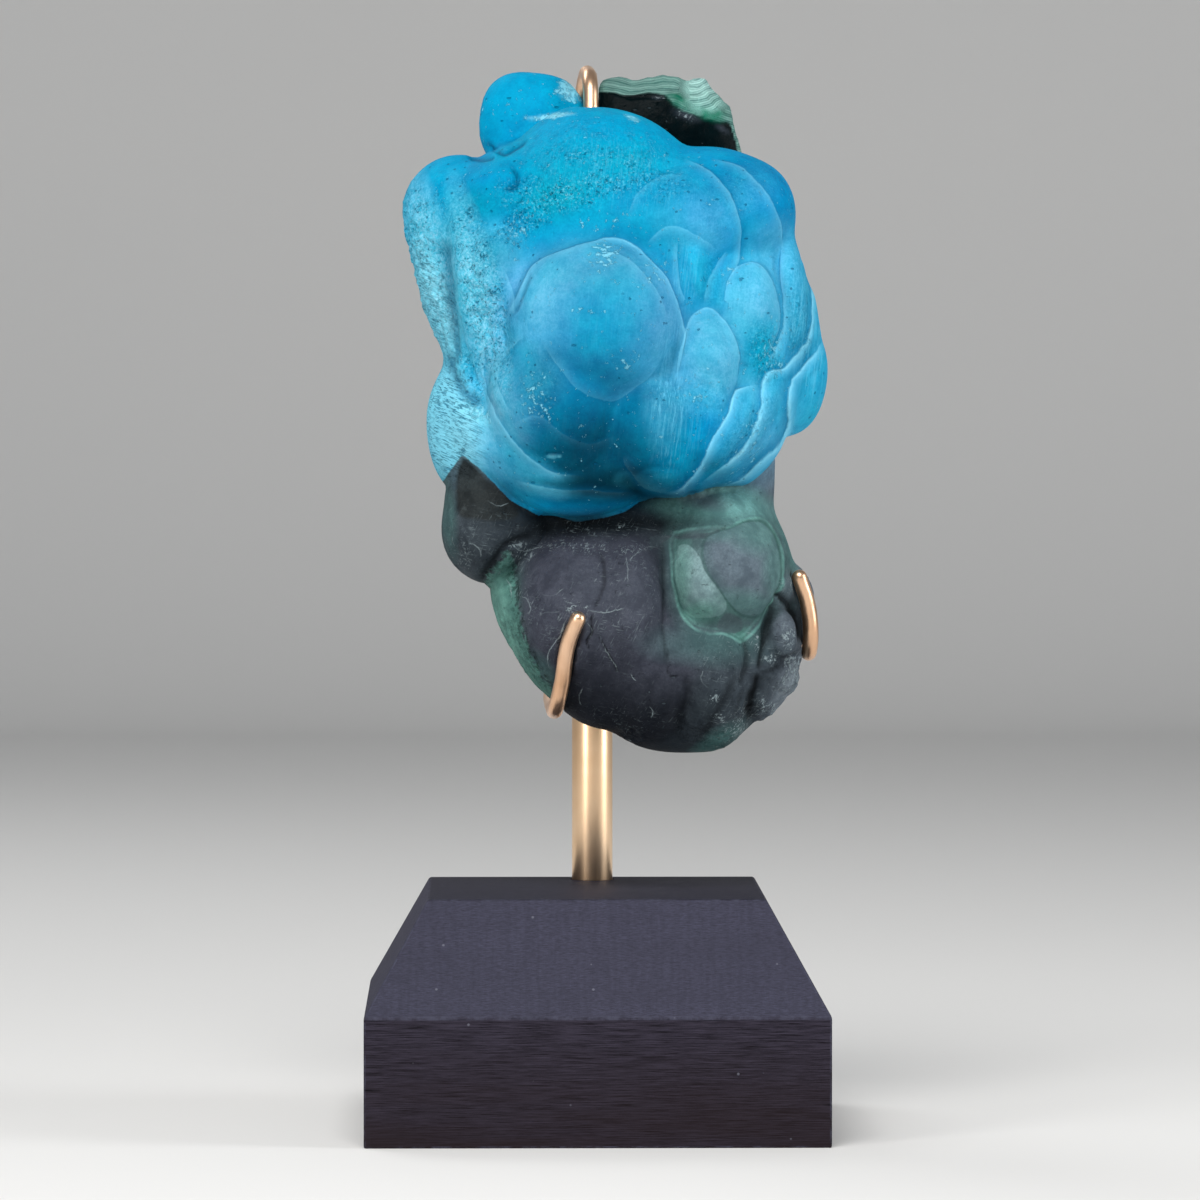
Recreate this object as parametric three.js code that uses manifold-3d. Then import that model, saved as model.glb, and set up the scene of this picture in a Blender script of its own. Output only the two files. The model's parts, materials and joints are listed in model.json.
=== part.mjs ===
// Botryoidal malachite with a mass of blue chrysocolla grown over it, held by three brass wire
// claws on a brass post, on a black wooden base with a sloping top.
// Millimetres, +Z up, -Y is the front. The origin is the centre of the base's underside.

import * as THREE from 'three';
import { mergeVertices } from 'three/addons/utils/BufferGeometryUtils.js';
import Module from 'manifold-3d';

const wasm = await Module();
wasm.setup();

// Driving dimensions of the stand
const BASE_SIDE = 70;
const BASE_TOP_SIDE = 51;
const BASE_WALL_HEIGHT = 19.5;
const BASE_HEIGHT = 36.6;
const BASE_EDGE = 0.5;
const POST_RADIUS = 3.175;
const POST_Y = 20;
const POST_TOP = 98;
const POST_SEAT_DEPTH = 15;
const WIRE_RADIUS = 1.2;
const GAP = 0.3;

// Facet sizes
const POST_SIDES = 28;
const WIRE_SIDES = 8;
const WIRE_STEP = 3.6;
const LOBE_EDGE = 3.4;
const LOBE_ROWS_MOST = 5;
const LOBE_ROWS_LEAST = 2;

// Colours
const BLACK_WOOD = new THREE.MeshStandardMaterial({ color: 0x2c2a30, roughness: 0.45, metalness: 0 });
const BRASS = new THREE.MeshStandardMaterial({ color: 0xd9b382, roughness: 0.3, metalness: 1 });
const STONE = new THREE.MeshStandardMaterial({ color: 0x3f9fc4, roughness: 0.6, metalness: 0 });

// Solids from geometry and back

function solid(geometry) {
  geometry.deleteAttribute('normal');
  geometry.deleteAttribute('uv');
  const merged = mergeVertices(geometry, 1e-4);
  const vertProperties = new Float32Array(merged.attributes.position.array);
  const triVerts = new Uint32Array(merged.index.array);
  return new wasm.Manifold(new wasm.Mesh({ numProp: 3, vertProperties, triVerts }));
}

function geometryOf(manifold) {
  const mesh = manifold.getMesh();
  const geometry = new THREE.BufferGeometry();
  geometry.setAttribute('position', new THREE.BufferAttribute(new Float32Array(mesh.vertProperties), 3));
  geometry.setIndex(new THREE.BufferAttribute(new Uint32Array(mesh.triVerts), 1));
  geometry.computeVertexNormals();
  return geometry;
}

function named(name, manifold, material) {
  const mesh = new THREE.Mesh(geometryOf(manifold), material);
  mesh.name = name;
  return mesh;
}

// Base: a four-sided turning gives the square block, and a second one, turned by an eighth of a
// turn, eases its upright and hip edges

function fourSided(apothems, turn) {
  const profile = [new THREE.Vector2(0, apothems[0][1])];
  for (const [apothem, z] of apothems) {
    profile.push(new THREE.Vector2(apothem * Math.SQRT2, z));
  }
  profile.push(new THREE.Vector2(0, apothems.at(-1)[1]));
  const geometry = new THREE.LatheGeometry(profile, 4, turn);
  geometry.rotateX(Math.PI / 2);
  return solid(geometry);
}

function makeBase() {
  const half = BASE_SIDE / 2;
  const halfTop = BASE_TOP_SIDE / 2;
  const levels = [
    [half - BASE_EDGE, 0],
    [half, BASE_EDGE],
    [half, BASE_WALL_HEIGHT],
    [halfTop + BASE_EDGE * 0.5, BASE_HEIGHT - BASE_EDGE * 0.7],
    [halfTop - BASE_EDGE * 0.5, BASE_HEIGHT],
  ];
  const corners = levels.map(([apothem, z]) => [apothem * Math.SQRT2 - BASE_EDGE * Math.SQRT1_2, z]);
  const seat = new THREE.CylinderGeometry(
    POST_RADIUS + GAP, POST_RADIUS + GAP, POST_SEAT_DEPTH + 5, POST_SIDES);
  seat.rotateX(Math.PI / 2);
  seat.translate(0, POST_Y, BASE_HEIGHT - POST_SEAT_DEPTH + (POST_SEAT_DEPTH + 5) / 2);
  return fourSided(levels, Math.PI / 4).intersect(fourSided(corners, 0)).subtract(solid(seat));
}

// Post: a plain round rod standing in a blind hole in the base

function makePost() {
  const foot = BASE_HEIGHT - POST_SEAT_DEPTH + GAP;
  const rod = new THREE.CylinderGeometry(POST_RADIUS, POST_RADIUS, POST_TOP - foot, POST_SIDES);
  rod.rotateX(Math.PI / 2);
  rod.translate(0, POST_Y, (POST_TOP + foot) / 2);
  return solid(rod);
}

// Claws: round wire bent along a route, with a rounded tip. Each one lies beside the post where it
// is brazed, GAP clear of it. A route starts at the post and ends at the tip.

const BESIDE_POST = POST_RADIUS + GAP + WIRE_RADIUS;

const TOP_ROUTE = [
  [0, POST_Y + BESIDE_POST, 78], [0, POST_Y + BESIDE_POST, 96], [-0.5, POST_Y + 3.5, 112],
  [-1.3, 19.2, 135], [-1.6, 17.8, 152], [-1.5, 15.9, 159], [-1.1, 12.2, 161.9],
  [-0.8, 7.5, 161.9], [-0.6, 3.2, 160.6], [-0.5, 1.4, 157], [-0.6, 0.6, 152.6],
];
const LEFT_ROUTE = [
  [-BESIDE_POST, POST_Y, 90], [-BESIDE_POST, POST_Y, 78], [-5.6, 19.8, 70],
  [-6.4, 18.2, 66], [-6.4, 13, 64.6], [-6.3, 0, 64.5], [-6.2, -12.5, 64.5],
  [-6, -17.2, 65.6], [-5.6, -19.8, 69], [-4.6, -23.2, 74.5], [-2.7, -25.3, 78],
];
const RIGHT_ROUTE = [
  [BESIDE_POST, POST_Y, 90], [BESIDE_POST, POST_Y, 79], [6.5, 19.6, 74.5], [12, 18.6, 73.2],
  [25, 17.6, 73], [31, 15.3, 73], [32.8, 10.5, 73], [32.8, 0, 73],
  [32.9, -5, 73.4], [33, -7, 76], [32.5, -7.9, 80.5], [31.2, -8.9, 84.6],
];

function wire(route, radius) {
  const points = route.map(([x, y, z]) => new THREE.Vector3(x, y, z));
  const path = new THREE.CatmullRomCurve3(points, false, 'centripetal');
  const section = new THREE.Shape();
  section.absarc(0, 0, radius, 0, Math.PI * 2);
  const steps = Math.round(path.getLength() / WIRE_STEP);
  const rod = new THREE.ExtrudeGeometry(section, {
    steps, curveSegments: WIRE_SIDES / 2, bevelEnabled: false, extrudePath: path,
  });
  const tipRadius = radius * Math.cos(Math.PI / WIRE_SIDES) * 0.98;
  const tip = new THREE.SphereGeometry(tipRadius, WIRE_SIDES, WIRE_SIDES / 2);
  tip.translate(...route.at(-1));
  return solid(rod).add(solid(tip));
}

// Specimen: round growths fused into one mass. Each one is an ellipsoid: x, y, z of its centre,
// half its width, depth and height, and its lean to the right in degrees.

const CORE = {
  blueHeart: [4, -3, 124, 24.5, 22, 27, 0],
  blueBack: [3, 8, 126, 22, 14, 25, 0],
  leftHeart: [-15, -2, 125, 9.2, 12.5, 22, -3],
  rightHeart: [19.5, -5, 122, 12.3, 14.5, 20, 0],
  shellHeart: [18.5, -6, 109, 10.2, 14.5, 11, 20],
  chinHeart: [-8, -3, 103.5, 14, 12.5, 9, 0],
  waist: [3, 2, 97, 22.5, 15, 10, 0],
  darkHeart: [5, 1, 82, 18, 17, 21, 0],
  darkBack: [7, 8, 82, 18, 13, 20, 0],
  darkFront: [-0.5, -8, 78.5, 13, 15.2, 13, 0],
  haloHeart: [20, -6, 85, 8.6, 12.6, 9, 0],
  lowHeart: [19.5, -3, 75, 10, 13, 13, 0],
};

const BLUE_TOP = {
  crown: [0.3, -5, 142, 16.2, 17, 13.8, -2],
  crownLeft: [-12.5, -6, 142.5, 8.5, 12, 8.2, -25],
  crownRight: [18, -5, 139.8, 12.3, 16, 10.9, 12],
  knob: [-9.8, 8, 154, 8.4, 6.5, 7.5, 0],
  knobRight: [-4, 8.5, 153.5, 5.3, 5, 5.4, 0],
  knobNeck: [-11.5, 4, 147.5, 5.5, 8, 4.5, 0],
  rightShoulder: [24.3, -8, 141.5, 6.4, 11, 7.3, -20],
  temple: [12.5, -11, 139, 9.3, 13.5, 8.6, 8],
  templeLeft: [5, -13, 137.5, 7, 11, 7.2, 0],
  templeRidge: [14.8, -18.5, 130.8, 2.3, 6, 5.2, -14],
};

const BLUE_LEFT = {
  leftShoulder: [-20.8, -1, 139.8, 8.7, 11, 9.1, -10],
  leftColumn: [-24.3, 0, 132, 3.6, 8, 12.5, -12],
  leftRidge: [-19.2, -7, 130, 4.0, 9, 14, -8],
  leftSlope: [-14, -11, 131, 5.6, 9.5, 8.8, -15],
  leftFoot: [-19.8, -4, 116, 3.6, 8, 9, 0],
  lowerLeft: [-20.2, -2, 107, 5.9, 10, 10.3, -4],
  leftLip: [-15.5, -9, 106.5, 6.2, 9, 9.2, -38],
};

const BLUE_FRONT = {
  brow: [0, -19, 123.8, 13.6, 13, 12.6, 0],
  cheekLeft: [-5.8, -17.5, 111.5, 10.6, 12.5, 11.2, 0],
  cheekRight: [8, -17, 107.8, 7.8, 12, 8.6, 0],
  chin: [-2.6, -12.5, 106, 15.1, 13, 12.3, 0],
  chinRight: [10.5, -13.5, 106, 10.8, 13, 8.8, 0],
};

const BLUE_RIGHT = {
  paleRight: [23.2, -12.5, 125.5, 4.3, 9.5, 8.2, 5],
  paleMiddle: [17, -17.5, 118, 4.8, 8.5, 7.6, -8],
  middleLow: [14.5, -15, 110.5, 5.5, 10, 6.5, 20],
  rightSide: [29.2, -8, 128, 3.0, 8, 9.8, -3],
  rightRim: [31.8, -3, 124, 2.6, 7, 9.0, -10],
  shellOne: [19.8, -15, 106.8, 3.0, 8.5, 8.4, 34],
  shellTwo: [23.6, -11.5, 107.8, 3.0, 9, 9.8, 30],
  shellThree: [26.3, -7.5, 107.6, 2.6, 9, 9.6, 27],
  farRight: [31, -2, 113.8, 4.6, 8, 7.5, 10],
};

const DARK_LEFT = {
  leftUpper: [-16, -5, 97.5, 7.0, 10, 7.0, 0],
  leftLobe: [-16.3, -5, 91, 7.3, 12, 8.2, -25],
  leftInner: [-11.5, -7, 92.5, 3.6, 8, 3.4, 0],
  frontLeft: [-3.2, -8, 78.6, 8.9, 16, 12.6, -4],
  frontMiddle: [5, -9, 79.5, 6.6, 16.5, 12.6, 0],
  lowLeft: [0.5, -7, 72, 8.8, 13, 10.6, -12],
};

const DARK_RIGHT = {
  haloDome: [21.8, -9, 85.8, 6.0, 12, 7.6, -6],
  haloCrescent: [16.8, -9.5, 83.4, 5.2, 11.5, 7.6, -18],
  haloShoulder: [18.5, -5, 93.8, 8, 11, 5.6, 8],
  rightColumn: [23.5, -1, 99, 4.4, 9, 9, 5],
  rightWall: [26.3, -2, 86, 4.4, 9, 9.4, -10],
  clawLobe: [30, 2.5, 81.5, 3.9, 9, 6, 0],
  rightInner: [28.2, -7, 76, 3.0, 7, 5.0, -8],
  rightStrip: [24.6, -7, 71, 2.9, 9, 7.4, 5],
  lowRight: [25.5, -2, 69.5, 5.6, 9, 7.6, 30],
  lowMiddle: [17, -8, 68.5, 6.5, 13.5, 9.3, 0],
  lowFront: [8.7, -9.5, 66.5, 5.2, 12, 6.5, 0],
  tail: [13.5, -2, 66, 10.5, 11, 7.9, -6],
};

const FLANK = {
  lowerLeft: [-8.6, -4, 76.5, 5.2, 12, 11.5, -32],
};

const SLAB = {
  slab: [10.4, 8, 150.5, 12.6, 5.8, 13.5, 0],
};

// Pits and notches sunk in the surface
const PITS = {
  hollowUnderTemple: [17.9, -22.5, 133.8, 2.0, 3.2, 1.7, 0],
  hollowBelowRidge: [17.6, -22.5, 127.4, 1.7, 3, 1.3, 0],
  crownNotch: [-12.9, -17, 144.4, 2.4, 3.2, 0.9, -35],
  crackLow: [-6.3, -29.5, 103.4, 1.6, 2.2, 0.7, 0],
};

// Broken faces: a point on the face and the direction in which the rock is gone
const SLAB_BREAKS = {
  frontTop: [[7, 4.4, 158.6], [0.02, -0.5, 0.86]],
  top: [[8, 9.5, 161.6], [0.02, 0.12, 0.98]],
  rightTop: [[17.9, 6, 158.6], [0.66, -0.35, 0.66]],
  rightSide: [[21.2, 8, 154], [0.96, -0.05, 0.22]],
};

const FLANK_BREAKS = {
  lowerLeft: [[-14.6, -8, 76.5], [-0.82, -0.25, -0.5]],
};

const BACK_BREAKS = {
  upper: [[4, 14.2, 128], [0.03, 1, 0.06]],
  lower: [[4, 14.4, 84], [-0.05, 1, -0.08]],
  left: [[-21, 7, 112], [-0.66, 0.75, 0.05]],
  right: [[28, 6.5, 112], [0.64, 0.76, -0.08]],
};
const BREAK_BLOCK_SIDE = 160;

function lobe([x, y, z, halfWidth, halfDepth, halfHeight, lean]) {
  const size = (halfWidth + halfDepth + halfHeight) / 3;
  const rows = THREE.MathUtils.clamp(Math.round(size / LOBE_EDGE), LOBE_ROWS_LEAST, LOBE_ROWS_MOST);
  const geometry = new THREE.IcosahedronGeometry(1, rows - 1);
  geometry.scale(halfWidth, halfDepth, halfHeight);
  geometry.rotateY(THREE.MathUtils.degToRad(lean));
  geometry.translate(x, y, z);
  return solid(geometry);
}

function breakBlock([point, direction]) {
  const outward = new THREE.Vector3(...direction).normalize();
  const up = new THREE.Vector3(0, 0, 1);
  const block = new THREE.BoxGeometry(BREAK_BLOCK_SIDE, BREAK_BLOCK_SIDE, BREAK_BLOCK_SIDE);
  block.translate(0, 0, BREAK_BLOCK_SIDE / 2);
  block.applyQuaternion(new THREE.Quaternion().setFromUnitVectors(up, outward));
  block.translate(...point);
  return solid(block);
}

function joined(growths) {
  return Object.values(growths).map(lobe).reduce((rock, growth) => rock.add(growth));
}

function broken(rock, breaks) {
  return Object.values(breaks).map(breakBlock).reduce((left, block) => left.subtract(block), rock);
}

function makeSpecimen() {
  let rock = broken(joined(SLAB), SLAB_BREAKS).add(broken(joined(FLANK), FLANK_BREAKS));
  for (const growths of [CORE, BLUE_TOP, BLUE_LEFT, BLUE_FRONT, BLUE_RIGHT, DARK_LEFT, DARK_RIGHT]) {
    rock = rock.add(joined(growths));
  }
  for (const pit of Object.values(PITS)) {
    rock = rock.subtract(lobe(pit));
  }
  rock = broken(rock, BACK_BREAKS);
  for (const route of [TOP_ROUTE, LEFT_ROUTE, RIGHT_ROUTE]) {
    rock = rock.subtract(wire(route, WIRE_RADIUS + GAP));
  }
  return rock;
}

const object = new THREE.Group();
object.name = 'malachite_specimen';
object.add(named('base', makeBase(), BLACK_WOOD));
object.add(named('post', makePost(), BRASS));
object.add(named('top_claw', wire(TOP_ROUTE, WIRE_RADIUS), BRASS));
object.add(named('left_claw', wire(LEFT_ROUTE, WIRE_RADIUS), BRASS));
object.add(named('right_claw', wire(RIGHT_ROUTE, WIRE_RADIUS), BRASS));
object.add(named('specimen', makeSpecimen(), STONE));

export default object;
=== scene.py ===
import json
import math

import bpy
import numpy as np
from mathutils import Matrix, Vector, kdtree, noise

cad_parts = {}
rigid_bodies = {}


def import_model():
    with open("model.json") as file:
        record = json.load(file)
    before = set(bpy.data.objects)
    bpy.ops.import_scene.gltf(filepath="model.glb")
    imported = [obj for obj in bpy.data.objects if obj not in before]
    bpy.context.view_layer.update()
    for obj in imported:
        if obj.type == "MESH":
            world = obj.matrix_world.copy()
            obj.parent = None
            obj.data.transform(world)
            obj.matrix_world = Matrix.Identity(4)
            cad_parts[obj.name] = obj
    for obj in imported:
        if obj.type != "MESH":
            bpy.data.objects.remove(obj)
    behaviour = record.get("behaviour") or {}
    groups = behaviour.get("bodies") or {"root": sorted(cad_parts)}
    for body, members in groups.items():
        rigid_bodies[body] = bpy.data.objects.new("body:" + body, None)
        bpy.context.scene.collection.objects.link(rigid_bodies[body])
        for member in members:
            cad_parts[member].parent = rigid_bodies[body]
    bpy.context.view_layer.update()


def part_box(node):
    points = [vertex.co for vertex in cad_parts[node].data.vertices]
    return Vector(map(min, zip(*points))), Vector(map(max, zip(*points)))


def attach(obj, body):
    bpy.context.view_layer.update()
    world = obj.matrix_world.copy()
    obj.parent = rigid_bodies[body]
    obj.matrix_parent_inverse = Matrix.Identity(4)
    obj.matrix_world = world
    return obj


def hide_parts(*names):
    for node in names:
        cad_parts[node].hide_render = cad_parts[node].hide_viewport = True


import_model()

# Camera. It stands where the photograph's camera stood: a little over a metre in front of the
# base, with a long lens, looking slightly down and a touch to the right of straight on.
# Its place and angles come from the base's corners, the post and the claws in the photograph.
PHOTO_WIDTH = 1200
FOCAL_LENGTH_IN_PIXELS = 7374
SENSOR_WIDTH = 36
bpy.ops.object.camera_add(
    location=(-0.01816, -1.1335, 0.1146),
    rotation=(math.pi / 2 - 0.0297, 0, -0.0168),
)
camera = bpy.context.object
camera.name = "camera"
camera.data.sensor_width = SENSOR_WIDTH
camera.data.lens = SENSOR_WIDTH * FOCAL_LENGTH_IN_PIXELS / PHOTO_WIDTH
camera.data.clip_start = 0.05
bpy.context.scene.camera = camera
bpy.context.scene.view_settings.view_transform = "Standard"

# Studio. A soft box high in front, a little to the left, gives the main light. A tall narrow one on
# each side, down to the floor, draws the two bright lines along the brass, and a small one behind
# lifts the specimen's edges.
MIDDLE_OF_SPECIMEN = (0, -0.01, 0.11)
for name, place, width, height, power, colour in (
    ("key", (-0.08, -0.74, 0.85), 0.6, 0.5, 10.5, (1.0, 0.98, 0.96)),
    ("left", (-0.62, -0.72, 0.26), 0.26, 0.56, 3.8, (1.0, 0.98, 0.97)),
    ("right", (0.88, -0.26, 0.28), 0.34, 0.6, 4.6, (0.98, 0.99, 1.0)),
    ("rear", (-0.45, 0.55, 0.75), 0.5, 0.3, 2.2, (1.0, 1.0, 1.0)),
):
    direction = Vector(MIDDLE_OF_SPECIMEN) - Vector(place)
    bpy.ops.object.light_add(
        type="AREA", location=place, rotation=direction.to_track_quat("-Z", "Y").to_euler()
    )
    light = bpy.context.object
    light.name = name
    light.data.shape = "RECTANGLE"
    light.data.size = width
    light.data.size_y = height
    light.data.energy = power
    light.data.color = colour

world = bpy.data.worlds.new("studio air")
world.use_nodes = True
air = world.node_tree.nodes["Background"].inputs
air["Color"].default_value = (0.9, 0.94, 1.0, 1)
air["Strength"].default_value = 0.18
bpy.context.scene.world = world

# Floor. A pale matt sheet that runs back from under the base and curves up into a backdrop.
# It is only the studio, not part of the object.
FLOOR_WIDTH = 6
BACKDROP_DISTANCE = 1.45
BACKDROP_HEIGHT = 3
BACKDROP_RADIUS = 0.2
bpy.ops.object.select_all(action="DESELECT")
bpy.ops.mesh.primitive_plane_add(
    size=FLOOR_WIDTH, location=(0, BACKDROP_DISTANCE - FLOOR_WIDTH / 2, 0)
)
floor = bpy.context.object
floor.name = "floor"
bpy.ops.object.transform_apply(location=True, rotation=True, scale=True)
bpy.ops.object.mode_set(mode="EDIT")
bpy.ops.mesh.select_all(action="DESELECT")
bpy.ops.object.mode_set(mode="OBJECT")
for edge in floor.data.edges:
    ends = [floor.data.vertices[index].co.y for index in edge.vertices]
    edge.select = min(ends) > BACKDROP_DISTANCE - 0.01
bpy.ops.object.mode_set(mode="EDIT")
bpy.ops.mesh.select_mode(type="EDGE")
bpy.ops.mesh.extrude_region_move(TRANSFORM_OT_translate={"value": (0, 0, BACKDROP_HEIGHT)})
bpy.ops.object.mode_set(mode="OBJECT")
fold = floor.modifiers.new("curve of the sheet", "BEVEL")
fold.width = BACKDROP_RADIUS
fold.segments = 24
bpy.ops.object.modifier_apply(modifier=fold.name)
bpy.ops.object.shade_smooth()
pale_sheet = bpy.data.materials.new("pale sheet")
pale_sheet.use_nodes = True
sheet_finish = pale_sheet.node_tree.nodes["Principled BSDF"].inputs
sheet_finish["Base Color"].default_value = (0.75, 0.75, 0.74, 1)
sheet_finish["Roughness"].default_value = 0.9
floor.data.materials.append(pale_sheet)


# Base. One block of close-grained wood, sawn square with sloping upper sides, stained black and
# waxed. Its edges are just broken, and a blind hole near the rear of its top takes the post.
base_low, base_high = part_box("base")
BASE_SIDE = base_high[0] - base_low[0]
BASE_HEIGHT = base_high[2] - base_low[2]
BASE_TOP_SIDE = 0.051
BASE_WALL_HEIGHT = 0.0195
BROKEN_EDGE = 0.00032
POST_RADIUS = 0.003175
POST_PLACE = (0, 0.020)
POST_SEAT_DEPTH = 0.015
SEAT_RADIUS = POST_RADIUS + 0.0003


def select_faces(piece, chosen):
    """Selects the faces whose centre and normal pass the test, and leaves edit mode off."""
    bpy.ops.object.mode_set(mode="EDIT")
    bpy.ops.mesh.select_mode(type="FACE")
    bpy.ops.mesh.select_all(action="DESELECT")
    bpy.ops.object.mode_set(mode="OBJECT")
    for face in piece.data.polygons:
        face.select = chosen(face.center, face.normal)


bpy.ops.object.select_all(action="DESELECT")
bpy.ops.mesh.primitive_cube_add(
    size=1,
    location=(0, 0, BASE_WALL_HEIGHT / 2),
    scale=(BASE_SIDE, BASE_SIDE, BASE_WALL_HEIGHT),
)
base = bpy.context.object
base.name = "wooden_base"
bpy.ops.object.transform_apply(location=True, rotation=True, scale=True)
select_faces(base, lambda centre, normal: normal.z > 0.9)
bpy.ops.object.mode_set(mode="EDIT")
bpy.ops.mesh.extrude_region_move(
    TRANSFORM_OT_translate={"value": (0, 0, BASE_HEIGHT - BASE_WALL_HEIGHT)}
)
bpy.ops.transform.resize(value=(BASE_TOP_SIDE / BASE_SIDE, BASE_TOP_SIDE / BASE_SIDE, 1))
bpy.ops.mesh.select_all(action="SELECT")
bpy.ops.mesh.bevel(offset=BROKEN_EDGE, segments=3, affect="EDGES")
bpy.ops.object.mode_set(mode="OBJECT")

bpy.ops.mesh.primitive_cylinder_add(
    vertices=96,
    radius=SEAT_RADIUS,
    depth=POST_SEAT_DEPTH * 2,
    location=(*POST_PLACE, BASE_HEIGHT),
)
drill = bpy.context.object
bpy.context.view_layer.objects.active = base
seat = base.modifiers.new("post seat", "BOOLEAN")
seat.operation = "DIFFERENCE"
seat.object = drill
bpy.ops.object.modifier_apply(modifier=seat.name)
bpy.data.objects.remove(drill)
bpy.ops.object.select_all(action="DESELECT")
base.select_set(True)
bpy.ops.object.shade_smooth_by_angle(angle=math.radians(20))


def linear(red, green, blue):
    """A colour as a screen shows it, 0 to 255, turned into light."""
    parts = []
    for value in (red / 255, green / 255, blue / 255):
        parts.append(value / 12.92 if value <= 0.04045 else ((value + 0.055) / 1.055) ** 2.4)
    return (*parts, 1)


def feed(socket, value):
    """Gives a socket what another node gives, a number, or a colour as a screen shows it."""
    if isinstance(value, Shade):
        socket.id_data.links.new(value.socket, socket)
    else:
        socket.default_value = linear(*value) if isinstance(value, tuple) else value


class Shade:
    """What one node gives, so that a material's sums can be written as plain arithmetic."""

    def __init__(self, socket):
        self.socket = socket

    def worked(self, operation, *values):
        node = self.socket.id_data.nodes.new("ShaderNodeMath")
        node.operation = operation
        for slot, value in zip(node.inputs, values):
            feed(slot, value)
        return Shade(node.outputs["Value"])

    def __add__(self, other):
        return self.worked("ADD", self, other)

    def __sub__(self, other):
        return self.worked("SUBTRACT", self, other)

    def __rsub__(self, other):
        return self.worked("SUBTRACT", other, self)

    def __mul__(self, other):
        return self.worked("MULTIPLY", self, other)

    def __pow__(self, other):
        return self.worked("POWER", self, other)

    def __abs__(self):
        return self.worked("ABSOLUTE", self)

    def wave(self):
        return self.worked("SINE", self)

    def larger(self, other):
        return self.worked("MAXIMUM", self, other)

    def mapped(self, low, high, to_low=0, to_high=1, smooth=False):
        node = self.socket.id_data.nodes.new("ShaderNodeMapRange")
        node.interpolation_type = "SMOOTHSTEP" if smooth else "LINEAR"
        for slot, value in zip(node.inputs, (self, low, high, to_low, to_high)):
            feed(slot, value)
        return Shade(node.outputs["Result"])

    def line_at(self, level, inner, outer, strength=1):
        """A line where the value passes a level: full inside one half width, gone past another."""
        return abs(self - level).mapped(inner, outer, strength, 0)


class Recipe:
    """A material's node tree, with one short call for each kind of pattern."""

    def __init__(self, name):
        self.material = bpy.data.materials.new(name)
        self.material.use_nodes = True
        self.nodes = self.material.node_tree.nodes
        self.place = self.added("TexCoord", "Object")

    def added(self, kind, output, **inputs):
        """Adds a node of one kind, fills its inputs and hands on one of its outputs."""
        node = self.nodes.new("ShaderNode" + kind)
        for name, value in inputs.items():
            feed(node.inputs[name], value)
        return Shade(node.outputs[output])

    def stretch(self, sizes, turn=(0, 0, 0)):
        """Turns the pattern first, then gives its grain these sizes in metres."""
        node = self.nodes.new("ShaderNodeMapping")
        node.vector_type = "TEXTURE"
        node.inputs["Scale"].default_value = sizes
        node.inputs["Rotation"].default_value = turn
        feed(node.inputs["Vector"], self.place)
        return Shade(node.outputs["Vector"])

    def shaken(self, scale, amount):
        """The place, pushed about by a fine noise, so that cells aren't round."""
        push = self.nodes.new("ShaderNodeVectorMath")
        push.operation = "MULTIPLY_ADD"
        feed(push.inputs[0], self.added("TexNoise", "Color", Vector=self.place, Scale=scale))
        push.inputs[1].default_value = (amount, amount, amount)
        feed(push.inputs[2], self.place)
        return Shade(push.outputs["Vector"])

    def clouds(self, scale, detail, roughness, where=None):
        where = where or self.place
        return self.added(
            "TexNoise", "Fac", Vector=where, Scale=scale, Detail=detail, Roughness=roughness
        )

    def cells(self, scale, where=None, output="Distance"):
        return self.added("TexVoronoi", output, Vector=where or self.place, Scale=scale)

    def specks(self, scale, inner, outer, where=None):
        """One round speck in each cell, and the number that each cell drew."""
        speck = self.cells(scale, where).mapped(inner, outer, 1, 0, smooth=True)
        return speck, self.cells(scale, where, "Color")

    def blend(self, share, first, second, how="MIX"):
        """Goes from the first colour to the second as the share goes from 0 to 1."""
        node = self.nodes.new("ShaderNodeMix")
        node.data_type = "RGBA"
        node.blend_type = how
        for slot, value in ((0, share), (6, first), (7, second)):
            feed(node.inputs[slot], value)
        return Shade(node.outputs[2])

    def painted(self, name, output="Fac"):
        """What was painted on the piece under this name."""
        node = self.nodes.new("ShaderNodeAttribute")
        node.attribute_name = name
        return Shade(node.outputs[output])

    def parts(self, vector):
        node = self.nodes.new("ShaderNodeSeparateXYZ")
        feed(node.inputs["Vector"], vector)
        return [Shade(output) for output in node.outputs]

    def finish(self, height, relief, **sockets):
        """Fills the shader's sockets, with a relief that is so many metres for a height of one."""
        shader = self.nodes["Principled BSDF"]
        sockets["Normal"] = self.added("Bump", "Normal", Height=height, Distance=relief, Strength=1)
        for name, value in sockets.items():
            feed(shader.inputs[name.replace("_", " ")], value)
        return self.material


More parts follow.
